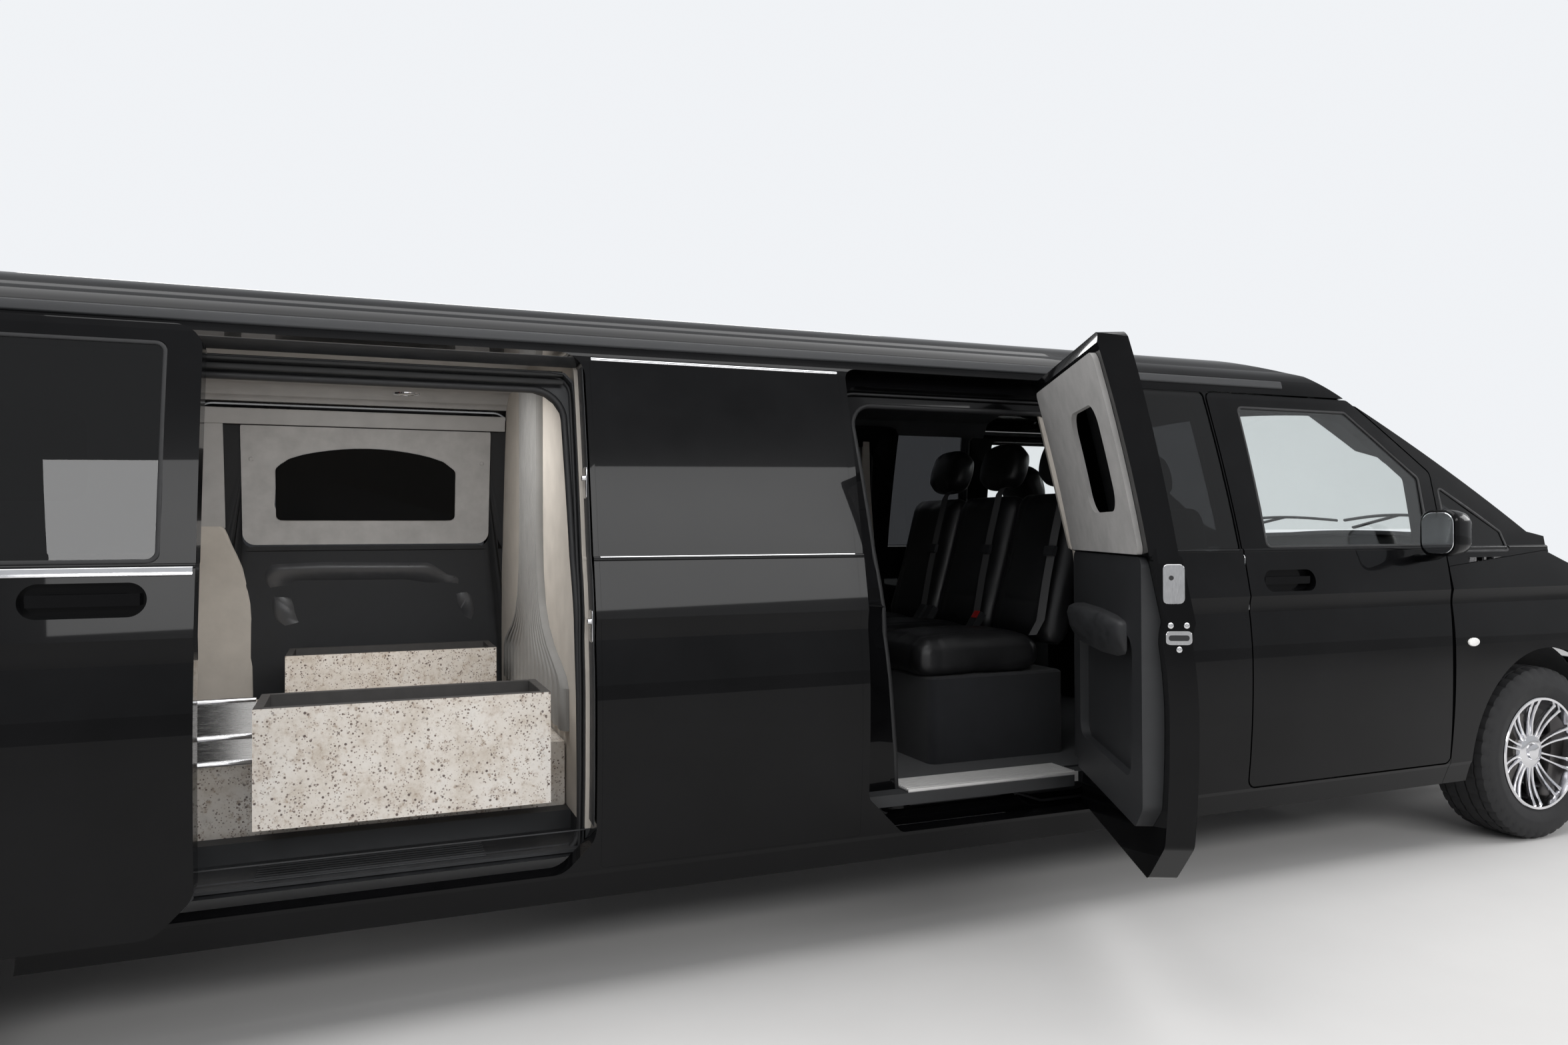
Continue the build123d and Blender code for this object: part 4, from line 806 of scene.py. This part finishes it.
show("sliding_surround", flipped([slide_ring]), "dark_plastic")
rear_seals = [edging(REAR_APERTURE, 0.004, 0.07, seal, -0.138, 8),
              edging(REAR_REBATE, -0.008, 0.05, lip, -0.118, 6)]
slide_seals = [edging(SLIDE_APERTURE, 0.004, 0.085, seal, -0.105, 8),
               edging(SLIDE_REBATE, -0.006, 0.05, lip, -0.094, 6)]
front_seal = edging(FRONT_DOOR, 0.014, 0.045, rounded(0.018, 0.014, 0.006, 3), -0.078)
show("door_seals", both([front_seal] + rear_seals) + flipped(slide_seals), "dark_plastic", 60,
     material=rubber)

# Inside of the sliding doors: black inner frame, arched window, moulded pocket, fasteners
DOOR_DEPTH = 0.0712
LINING_DEPTH = 0.0843
inner_frame = relief([
    (SLIDE_FRAME, 0.05, DOOR_DEPTH), (SLIDE_FRAME, 0.05, 0.075), (grown(SLIDE_PANEL, 0.002), 0.045, 0.075),
    (grown(SLIDE_PANEL, 0.002), 0.045, DOOR_DEPTH)], loop=True)
show("slide_inner_frames", on_sliders(inner_frame), "dark_plastic")
insert = relief([
    (grown(SLIDE_INSERT, 0.006), 0.022, LINING_DEPTH), (grown(SLIDE_INSERT, 0.006), 0.022, 0.0872),
    (SLIDE_INSERT, 0.02, 0.088), (grown(SLIDE_INSERT, -0.004), 0.02, 0.0866)])
privacy = plain("privacy_glass", (0.003, 0.003, 0.003), 0.4, scale=4, spread=0.1, grain=20, bump=0.01,
                Specular_IOR_Level=0.12)
show("slide_windows", on_sliders(insert), "tinted_glass", material=privacy)
pocket = relief([
    (SLIDE_POCKET, 0.05, LINING_DEPTH), (SLIDE_POCKET, 0.05, 0.0862),
    (grown(POCKET_RIDGE, 0.006), 0.05, 0.0866), (POCKET_RIDGE, 0.05, 0.098),
    (grown(POCKET_RIDGE, -0.008), 0.045, 0.106), (grown(POCKET_RIDGE, -0.018), 0.045, 0.108),
    (grown(POCKET_BOWL, 0.01), 0.05, 0.107), (POCKET_BOWL, 0.045, 0.098),
    (grown(POCKET_BOWL, -0.014), 0.035, 0.0885), (grown(POCKET_BOWL, -0.05), 0.03, 0.0866)])
# The pocket's base colour is painted lighter than the panel's dark plastic as a painted sheen; its gloss from the
# shader is real.
pocket_painted_sheen = plain("moulding_painted_sheen", (0.044, 0.045, 0.048), 0.32, scale=25, spread=0.12, grain=1100, bump=0.3,
              Specular_IOR_Level=0.9)
show("slide_pocket", [pocket], "dark_plastic", 50, material=pocket_painted_sheen)
STUD_Z = 1.53
studs = []
for x in (-4.705, -3.862):
    inward = (-side_out(STUD_Z)).to_track_quat("Z", "Y").to_matrix().to_4x4()
    place = shift(on_side(x, STUD_Z, -LINING_DEPTH)) @ inward
    studs.append(disc([(0, 0), (0, 0.0085), (0.002, 0.0075), (0.0032, 0)], 16, place))
show("lining_studs", studs, "grey_lining", 50)

slide_bead = edging(SLIDE_WINDOW, -0.004, 0.022, bead, -0.003)
fixed_beads = [edging(QUARTER_PANE, -0.004, 0.03, bead, -0.003), edging(SAIL, -0.004, 0.014, bead, -0.003)]
show("pane_beads", both(fixed_beads) + on_sliders(slide_bead), "dark_plastic", 60, material=rubber)
for kind, pane, turn in (("front", FRONT_WINDOW, UNMOVED), ("rear", REAR_WINDOW, OPEN)):
    pair(f"{kind}_bead", [edging(pane, -0.004, 0.022, bead, -0.003)], "dark_plastic", 60, f"{kind}_door",
         rubber, turn)

# Bright strips: belt line of the sliding doors and rear quarters, fine lines on the fixed panels
belt = rounded(0.02, 0.005, 0.002, 2)
fine = rounded(0.009, 0.006, 0.002, 2)
slide_belt = side_strip(((-3.765, 1.1445), (-4.885, 1.1445)), belt, 0.001, False)
quarter_belt = side_strip(((-4.898, 1.1445), (-5.85, 1.1445)), belt, 0.001, False)
lines = [side_strip(((-2.994, z), (-3.736, z)), fine, 0.0005, False) for z in (1.158, 1.702)]
show("bright_strips", on_sliders(slide_belt) + both([quarter_belt] + lines), "bright_trim", 50)
rail = rounded(0.03, 0.012, 0.005, 3)
show("roof_rails", both([side_strip(((-1.2, 1.752), (-5.84, 1.752)), rail, 0.004, False, 0.3)]),
     "dark_plastic", 50)
# Sliding-door track above and at the waist
track = rounded(0.016, 0.01, 0.004, 2)
tracks = [side_strip(((-3.8, z), (-4.86, z)), track, -0.082, False, 0.3) for z in (1.69, 1.664)]
waist = side_strip(((-4.93, 1.105), (-5.8, 1.105)), rounded(0.034, 0.006, 0.0025, 2), 0.0015, False)
show("door_tracks", both(tracks + [waist]), "chassis_black", 50)

# Doorway floors: ribbed aluminium sill plates, light pillar trims beside the passenger doorways
plate = [block((-2.795, 0.735, FLOOR_Z), (-2.175, 0.872, FLOOR_Z + 0.007))]
plate += [block((-2.792, 0.74 + 0.0125 * i, 0.447), (-2.178, 0.7465 + 0.0125 * i, 0.45))
          for i in range(10)]
plate.append(block((-2.795, 0.8722, 0.418), (-2.175, 0.8752, 0.45)))
show("sill_plates", both(plate), "bright_trim", 30,
     material=brushed("sill_metal", (0.78, 0.77, 0.76), 0.42, (0.04, 1, 1), 0.6))
PILLAR = ((1, 0.012), (-1, 0.012), (-1, 0.004), (-0.85, 0), (0.85, 0), (1, 0.004))
pillar = [[spot(x + a * wide / 2, side_y(z) - 0.158 + b, z) for a, b in PILLAR] for z, x, wide in (
    (1.64, -2.164, 0.034), (1.45, -2.142, 0.042), (1.2, -2.104, 0.052), (1.168, -2.098, 0.054),
    (1.16, -2.09, 0.04), (0.9, -2.088, 0.034), (0.66, -2.086, 0.022))]
show("pillar_trims", both([loft(pillar)]), "beige_lining", 50)

# Passenger room: carpet and headliner
show("cabin_carpet", [block((-3.735, -0.78, 0.4402), (-0.46, 0.78, 0.4462))], "black_leather", 30,
     material=carpet_dark)
arch = ((0.722, 1.684), (0.684, 1.748), (0.574, 1.782), (0.3, 1.806), (0, 1.816))
arch = [*arch, *[(-y, z) for y, z in arch[-2::-1]]]
arch += [(y * 0.996, z - 0.004) for y, z in arch[::-1]]
liner = loft([[spot(x, y, z) for y, z in arch] for x in (-3.735, -3, -2.2, -1.5)])
show("headliner", [liner], "grey_lining",
     material=plain("headliner_cloth", (0.03, 0.03, 0.032), 0.9, scale=10, grain=1400, bump=0.4))

# Casket compartment: two lamps in the ceiling
lamp_place = shift(spot(-4.17, -0.3, 1.7255)) @ turned(180, "X")
lamps = [shift((0, y, 0)) @ lamp_place for y in (0, 0.6)]
show("ceiling_lamp_rings",
     [disc([(0, 0.03), (0, 0.046), (0.004, 0.045), (0.006, 0.04), (0.004, 0.031)], 32, p)
      for p in lamps], "bright_trim", 50)
glow = plain("lamp_glass", (0.88, 0.87, 0.84), 0.3, scale=60, spread=0.02, grain=300, bump=0.05)
show("ceiling_lamps",
     [disc([(0, 0), (0, 0.03), (0.003, 0.029), (0.0045, 0.02), (0.005, 0)], 32, p)
      for p in lamps], "lamp_lens", 50, material=glow)
# A fluted column on the partition that spreads at its foot
FLUTES = 15
PARTITION_X = -3.7703
rings = []
for z, half in ((0.66, 0.66), (0.78, 0.655), (0.81, 0.62), (0.84, 0.54), (0.88, 0.42), (0.93, 0.325),
                (1, 0.255), (1.1, 0.215), (1.25, 0.2), (1.45, 0.2), (1.6, 0.2), (1.735, 0.2)):
    ring = []
    for step in range(FLUTES * 8 + 1):
        share = step / (FLUTES * 8)
        depth = 0.008 + 0.014 * min(1, 1.8 * abs(sin(pi * FLUTES * share)))
        ring.append(spot(PARTITION_X - depth, half * (2 * share - 1), z))
    rings.append(ring + [spot(PARTITION_X, half, z), spot(PARTITION_X, -half, z)])
show("partition_column", [loft(rings)], "grey_lining", 30,
     material=plain("column_cloth", (0.24, 0.235, 0.225), 0.85, scale=12, spread=0.08, grain=1200,
                    bump=0.4))
# Moulded cover and lining behind the left sliding doorway
rings = []
for z, x in ((0.446, -4.705), (0.6, -4.705), (0.75, -4.704), (0.88, -4.706), (0.96, -4.712),
             (1.03, -4.723), (1.09, -4.738), (1.143, -4.757), (1.185, -4.774), (1.22, -4.786),
             (1.245, -4.796), (1.256, -4.806)):
    y = side_y(z) - 0.106
    section = ((-4.935, 0.026), (-4.935, 0), (x - 0.014, -0.004), (x - 0.004, -0.001), (x, 0.008),
               (x - 0.003, 0.026))
    rings.append([spot(a, y + b, z) for a, b in section])
wall = relief([(((-4.797, 1.25), (-4.797, 1.7), (-4.945, 1.7), (-4.945, 1.25)), 0.012, depth)
               for depth in (0.0852, 0.0885)], 80)
show("quarter_moulding", [loft(rings)], "beige_lining", 60)
cove = side_strip(((-3.776, 1.701), (-4.935, 1.701)), rounded(0.06, 0.008, 0.003, 3), -0.094, False, 0.2)
show("quarter_lining", [wall, cove], "grey_lining")

# Flower trays: dark liners with a lip over the rim; the deck's rollers and pins, and its right guard
tray_dark = plain("tray_lining", (0.055, 0.052, 0.05), 0.6, scale=30, spread=0.15, grain=700, bump=0.3)


def tray_inside(gap):
    """Corners of the left tray, drawn in by a gap."""
    return at(-4.564) + gap, 0.348 + gap, at(-3.854) - gap, 0.61 - gap


x0, y0, x1, y1 = tray_inside(0.0205)
liner = [*walls(*tray_inside(0.0005), 0.0215, 0.8032, 0.8042),
         *walls(*tray_inside(0.0203), 0.0022, 0.531, 0.8032), brick((x0, y0, 0.5303), (x1, y1, 0.533))]
pair("tray_liner", liner, "dark_plastic", 30, "tray", tray_dark, shift((0, -0.238, 0)))
rollers, pins = [], []
for x in (-4.75, -5.15, -5.55, -5.95):
    for y in (-0.12, 0.12):
        place = shift(spot(x, y, 0.6245)) @ turned(90, "X")
        rollers.append(disc([(-0.055, 0), (-0.055, 0.012), (-0.05, 0.014), (0.05, 0.014),
                             (0.055, 0.012), (0.055, 0)], 20, place))
for x in (-4.02, -6.02):
    place = shift(spot(x, 0, 0.6235))
    pins.append(disc([(0, 0), (0, 0.034), (0.005, 0.032), (0.006, 0.012), (0.03, 0.011),
                      (0.034, 0.008), (0.035, 0)], 24, place))
guards = [block((-5.82, 0.6035, 0.624), (-4.574, 0.6095, 0.793))]
rods = []
for z in (0.633, 0.7, 0.7945):
    place = shift(spot(-5.2, 0.6125, z)) @ turned(90, "Y")
    rods.append(disc([(-0.626, 0), (-0.626, 0.0055), (-0.624, 0.0065), (0.624, 0.0065), (0.626, 0.0055),
                      (0.626, 0)], 16, place))
show("deck_guards", flipped(guards), "chrome_rail", 30,
     material=brushed("guard_steel", (0.74, 0.73, 0.72), 0.25, (0.05, 1, 1)))
show("guard_bars", flipped(rods), "chrome_rail", 50)
show("deck_rollers", rollers, "dark_plastic", material=rubber)
show("deck_pins", pins, "chrome_rail")

# Step wells: raised tread ribs on their floors
treads = [block((-4.56, 0.7 + 0.02 * i, 0.3883), (-4.02, 0.708 + 0.02 * i, 0.3912)) for i in range(8)]
show("well_treads", both(treads), "dark_plastic", 30)


def edge_place(x, z, y):
    """A place on a door's free edge, facing rearward."""
    return shift(spot(x, y, z)) @ turned(-90, "Y")


def latch(x, z):
    """Plate, slot and screws of a latch on a door's free edge; the plate lies in the local XY plane."""
    middle = side_y(z) - 0.036
    metal = [on_plate(rounded(0.095, 0.052, 0.012, 4), 0.002,
                      edge_place(x, z + 0.13, side_y(z + 0.13) - 0.036))]
    hole = [on_plate(rounded(0.014, 0.05, 0.006, 3), 0.0025, edge_place(x, z, middle))]
    metal.append(on_plate(rounded(0.034, 0.062, 0.01, 4), 0.0018, edge_place(x, z, middle)))
    for up, out in ((0.03, 0.018), (0.03, -0.02), (-0.028, 0)):
        place = edge_place(x, z + up, middle + out)
        metal.append(disc([(0, 0), (0, 0.0075), (0.003, 0.007), (0.0042, 0.0035), (0.0034, 0)], 16,
                          place))
    hole.append(disc([(0.002, 0), (0.002, 0.006), (0.0032, 0.005), (0.0032, 0)], 16,
                     edge_place(x, z + 0.145, side_y(z + 0.13) - 0.042)))
    return metal, hole


steel = brushed("latch_steel", (0.7, 0.7, 0.71), 0.18, (1, 1, 0.1))
for kind, x, turn in (("front", -1.5203, UNMOVED), ("rear", -2.9603, OPEN)):
    for side, move in (("left", UNMOVED), ("right", turn @ FLIP)):
        for label, parts, material in zip(("latch", "slot"), latch(x, 0.965), (steel, rubber)):
            show(f"{kind}_{label}_{side}", [moved(part, move) for part in parts], "bright_trim",
                 body=f"{kind}_door_{side[0]}", material=material)

# Sliding doorway: dark strips over its upper and front faces, striker on the front one
strip = rounded(0.002, 0.063, 0.0008, 2)
jamb = [side_strip(((-3.766, 1.7082), (-4.884, 1.7082)), strip, -0.0365, False, 0.2),
        side_strip(((-3.7592, 0.46), (-3.7592, 1.704)), strip, -0.0365, False)]
show("doorway_strips", flipped(jamb), "dark_plastic", 30)
striker = []
for z in (0.98, 1.36):
    middle = side_y(z) - 0.036
    striker.append(on_plate(rounded(0.085, 0.036, 0.008, 3), 0.002, edge_place(-3.7602, z, middle)))
    striker.append(disc([(0, 0), (0, 0.0085), (0.01, 0.0075), (0.012, 0)], 16,
                        edge_place(-3.7602, z + 0.012, middle)))
show("doorway_strikers", flipped(striker), "bright_trim", material=steel)

# Rear doors: armrests
ARMREST = ((0, -0.075), (0.02, -0.062), (0.044, -0.02), (0.052, 0.02), (0.046, 0.04), (0.03, 0.048),
           (0, 0.05))
rings = [[spot(x, 0.8425 - a * size, 0.955 + b * (0.4 + 0.6 * size)) for a, b in ARMREST]
         for x, size in ((-2.215, 0.3), (-2.225, 0.75), (-2.26, 1), (-2.5, 1), (-2.68, 0.8),
                         (-2.76, 0.5), (-2.775, 0.2))]
pair("armrest", [loft(rings)], "dark_plastic", 60, "rear_door", turn=OPEN)

# Front doors: inner trim with an armrest
rings = []
for x, push in ((-0.66, 0), (-0.7, 0.01), (-0.9, 0.014), (-1.3, 0.014), (-1.42, 0.01), (-1.455, 0)):
    ring = []
    for z, out in ((0.47, 0.004), (0.5, 0.016), (0.62, 0.02), (0.8, 0.018), (0.86, 0.048), (0.9, 0.052),
                   (0.93, 0.024), (1.06, 0.018), (1.12, 0.014), (1.14, 0.004)):
        ring.append(spot(x, side_y(z) - DOOR_DEPTH - max(0.003, out + push - 0.012), z))
    ring += [spot(x, side_y(z) - DOOR_DEPTH, z) for z in (1.14, 0.8, 0.47)]
    rings.append(ring)
pair("front_trim", [loft(rings)], "dark_plastic", 50, "front_door")


# Mirrors: rounded shells with glass facing rearward
MIRROR_Y, MIRROR_Z = 1.058, 1.212
rings = [[spot(x, MIRROR_Y + y * size, MIRROR_Z + z * size) for y, z in rounded(0.142, 0.168, 0.046, 6)]
         for x, size in ((-0.745, 0.93), (-0.74, 0.985), (-0.725, 1), (-0.69, 0.97), (-0.66, 0.9),
                         (-0.64, 0.76), (-0.632, 0.5))]
foot = swept([spot(-0.68, y, z) for y, z in ((0.925, 1.118), (0.96, 1.12), (1, 1.128), (1.045, 1.15))],
             rounded(0.046, 0.03, 0.012, 3), (0, 0, 1))
pane = loft([[spot(x, MIRROR_Y + y * size, MIRROR_Z + z * size) for y, z in rounded(0.122, 0.148, 0.04, 6)]
             for x, size in ((-0.7452, 0.99), (-0.7464, 0.97))])
mirror_glass = plain("mirror_glass", (0.86, 0.88, 0.9), 0.03, 1, 6, 0.02, 60, 0.01)
for side, move in (("left", UNMOVED), ("right", FLIP)):
    door = f"front_door_{side[0]}"
    shell = show(f"mirror_shell_{side}", [moved(part, move) for part in (loft(rings), foot)], "black_paint",
                 50, body=door)
    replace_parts(shell, f"mirror_{side}")
    show(f"mirror_pane_{side}", [moved(pane, move)], "bright_trim", 30, body=door, material=mirror_glass)

# Side markers on the front wings
marker = shift(on_side(-0.43, 0.8, 0)) @ turned(-90, "X")
oval = [(0.03 * cos(turn), 0.016 * sin(turn)) for turn in turns(24)]
show("side_markers", both([on_plate(oval, 0.006, marker)]), "lamp_lens", 50, material=glow)

# Seat belts and buckles of the bench
BELT = ((-0.03, 0.125, 0.6), (0.004, 0.125, 0.59), (0.018, 0.13, 0.56), (0.022, 0.14, 0.4),
        (0.022, 0.155, 0.22), (0.018, 0.168, 0.08))
rake = shift((0, 0, BENCH_TOP - 0.03)) @ turned(SEAT_RAKE, "Y")
for index, y in enumerate(BENCH_Y):
    place = seat_place(BENCH_X, y, -1)
    path = divided([*[place @ (rake @ Vector(p)) for p in BELT], place @ Vector((0.035, 0.176, 0.862))],
                   0.02, False)
    rows = []
    for i, p in enumerate(path):
        ahead = (path[min(i + 1, len(path) - 1)] - path[max(i - 1, 0)]).normalized()
        side = ahead.cross(place.to_3x3() @ Vector((1, 0, 0.3))).normalized() * 0.023
        rows.append((p - side, p + side))
    mesh = bpy.data.meshes.new("belt")
    mesh.from_pydata([tuple(v) for row in rows for v in row], [],
                     [(2 * i, 2 * i + 1, 2 * i + 3, 2 * i + 2) for i in range(len(rows) - 1)])
    belt_piece = piece(f"seat_belt_{index + 1}", mesh, "body_shell", webbing, 60)
    buckles, buttons = [], []
    for by in (-0.15, -0.085) if index == 1 else (-0.15,):
        here = place @ shift((0.075, by, 0.868)) @ turned(-35, "Y")
        buckles.append(moved(brick((-0.016, -0.021, -0.02), (0.012, 0.021, 0.062)), here))
        if index == 0 and by == -0.15:
            buttons.append(moved(brick((0.0125, -0.017, 0.03), (0.015, 0.017, 0.06)), here))
    guide = place @ rake @ shift((0.018, 0.142, 0.33))
    buckles.append(moved(brick((0, -0.029, -0.018), (0.014, 0.029, 0.018)), guide))
    show(f"buckles_{index + 1}", buckles, "dark_plastic", 30)
    if buttons:
        show("buckle_button", buttons, "red_lens", 30, material=red_plastic)

# Round dashboard vents; nose and tail: mesh behind the grille, plates, wipers
vents, vent_rings = [], []
for y in (-0.72, -0.24, 0.14, 0.72):
    place = shift(spot(-0.7075, y, 1.015)) @ turned(-98, "Y")
    vent_rings.append(disc([(0, 0.034), (0, 0.044), (0.01, 0.043), (0.012, 0.038), (0.008, 0.034)], 28,
                           place))
    vents.append(disc([(0, 0), (0, 0.033), (0.006, 0.033), (0.003, 0.02), (0.007, 0.008),
                       (0.007, 0)], 28, place))
show("vent_rings", vent_rings, "bright_trim")
show("vents", vents, "dark_plastic", material=rubber)
bars = [block((0.735, -0.395 + 0.0198 * i, 0.652), (0.745, -0.388 + 0.0198 * i, 0.912)) for i in range(40)]
bars += [block((0.736, -0.4, 0.655 + 0.032 * i), (0.744, 0.4, 0.66 + 0.032 * i)) for i in range(9)]
bars += [block((0.8, -0.36 + 0.03 * i, 0.295), (0.81, -0.352 + 0.03 * i, 0.475)) for i in range(25)]
show("nose_mesh", bars, "dark_plastic", 30, material=rubber)
plate_white = plain("blank_plate", (0.72, 0.72, 0.7), 0.4, scale=50, spread=0.02, grain=300, bump=0.05)
PLATE = rounded(0.12, 0.5, 0.012, 3)
front_plate = on_plate(PLATE, 0.005, shift(spot(0.8905, 0, 0.545)) @ turned(90, "Y"))
rear_plate = on_plate(PLATE, 0.004, shift(spot(-6.431, 0, 0.9)) @ turned(-86.5, "Y"))
show("front_plate", [front_plate], "bright_trim", 30, material=plate_white)
show("rear_plate", [rear_plate], "bright_trim", 30, body="tailgate_lid", material=plate_white)


SCREEN_FOOT, SCREEN_HEIGHT, SCREEN_BOW = 1.215, 0.585, 3.5


def on_screen(y, z, out=0):
    """A point on the windscreen, or out from it."""
    share = (z - SCREEN_FOOT) / SCREEN_HEIGHT
    reach = SCREEN_BOW + 0.08 - 1.01 * share + (0.022 + out) * 0.9
    return spot(sqrt(reach * reach - y * y) - SCREEN_BOW, y, z + 0.012 + out)


wipers = []
for low, high in ((0.62, 0.02), (-0.02, -0.6)):
    path = [on_screen(low + (high - low) * i / 12, 1.255 + 0.02 * sin(pi * i / 12), 0.006)
            for i in range(13)]
    wipers.append(swept(path, rounded(0.014, 0.01, 0.003, 2), (0.5, 0, 0.86)))
    arm = [on_screen(low, 1.222, 0.004), on_screen(low - 0.1, 1.232, 0.016),
           on_screen((low + high) / 2, 1.262, 0.018)]
    wipers.append(swept(divided(arm, 0.03, False), rounded(0.016, 0.008, 0.003, 2), (0.5, 0, 0.86)))
show("wipers", wipers, "dark_plastic", material=rubber)


# Light, floor and camera


def stage_floor():
    """A pale, nearly even floor."""
    s = Shader("pale_floor", 0.9, Specular_IOR_Level=0.2)
    s.colour(shades(s, s.noise(1.5, 4), (0.62, 0.61, 0.6), 0.02))
    return s.bump(s.noise(60), 0.05, 0.001).material


floor_mesh = bpy.data.meshes.new("floor")
floor_mesh.from_pydata([(-40, -40, 0), (40, -40, 0), (40, 40, 0), (-40, 40, 0)], [], [(0, 1, 2, 3)])
floor_mesh.materials.append(stage_floor())
linked("floor", floor_mesh)

world = bpy.data.worlds.new("studio")
world.use_nodes = True
scene.world = world
nodes, links = world.node_tree.nodes, world.node_tree.links
background = nodes["Background"]
paths = nodes.new("ShaderNodeLightPath")
seen = nodes.new("ShaderNodeMath")
seen.operation = "ADD"
seen.use_clamp = True
for index, kind in enumerate(("Camera", "Transmission")):
    links.new(paths.outputs[f"Is {kind} Ray"], seen.inputs[index])
level = nodes.new("ShaderNodeMapRange")
level.inputs["To Min"].default_value = 0.55
level.inputs["To Max"].default_value = 0.92
links.new(seen.outputs[0], level.inputs["Value"])
links.new(level.outputs[0], background.inputs["Strength"])
background.inputs["Color"].default_value = (0.95, 0.97, 1, 1)


def lamp(name, place, aim, size, power):
    """A soft box."""
    data = bpy.data.lights.new(name, "AREA")
    data.shape = "RECTANGLE"
    data.size, data.size_y = size
    data.energy = power
    made = linked(name, data)
    made.location = place
    made.rotation_euler = (Vector(aim) - Vector(place)).to_track_quat("-Z", "Y").to_euler()
    return made


lamp("overhead", (0, -1, 6.5), (0, 0, 0), (9, 5), 390)
lamp("side_right", (0.5, -8, 4.2), (0, 0, 0.9), (9, 1.6), 285)
lamp("side_left", (0, 8, 4.2), (0, 0, 0.9), (9, 2.2), 220)
lamp("nose", (9, -2, 3.5), (2, 0, 0.8), (4, 2.2), 120)
lamp("tail", (-9, 1, 3.5), (-2, 0, 0.8), (4, 2.2), 120)
room = lamp("compartment", (at(-4.35), -0.25, 1.7), (at(-4.35), 0, 0.6), (0.8, 0.5), 11)
room.visible_camera = False
room.visible_glossy = False
room.visible_transmission = False

YAW, PITCH, ROLL = (radians(a) for a in (21.98, 0.56, -0.25))
CAMERA_PLACE = (-1.538, -3.672, 1.223)
FOCAL_PIXELS, PHOTO_PIXELS, SENSOR = 1576, 2352, 36
ahead = Vector((sin(YAW) * cos(PITCH), cos(YAW) * cos(PITCH), sin(PITCH)))
flat_right = Vector((cos(YAW), -sin(YAW), 0))
right = flat_right * cos(ROLL) + flat_right.cross(ahead) * sin(ROLL)
up = right.cross(ahead)
data = bpy.data.cameras.new("photo_view")
data.sensor_width = SENSOR
data.lens = FOCAL_PIXELS / PHOTO_PIXELS * SENSOR
scene.camera = linked("photo_view", data)
turn = Matrix((right, up, -ahead)).transposed()
scene.camera.matrix_world = shift(CAMERA_PLACE) @ turn.to_4x4()
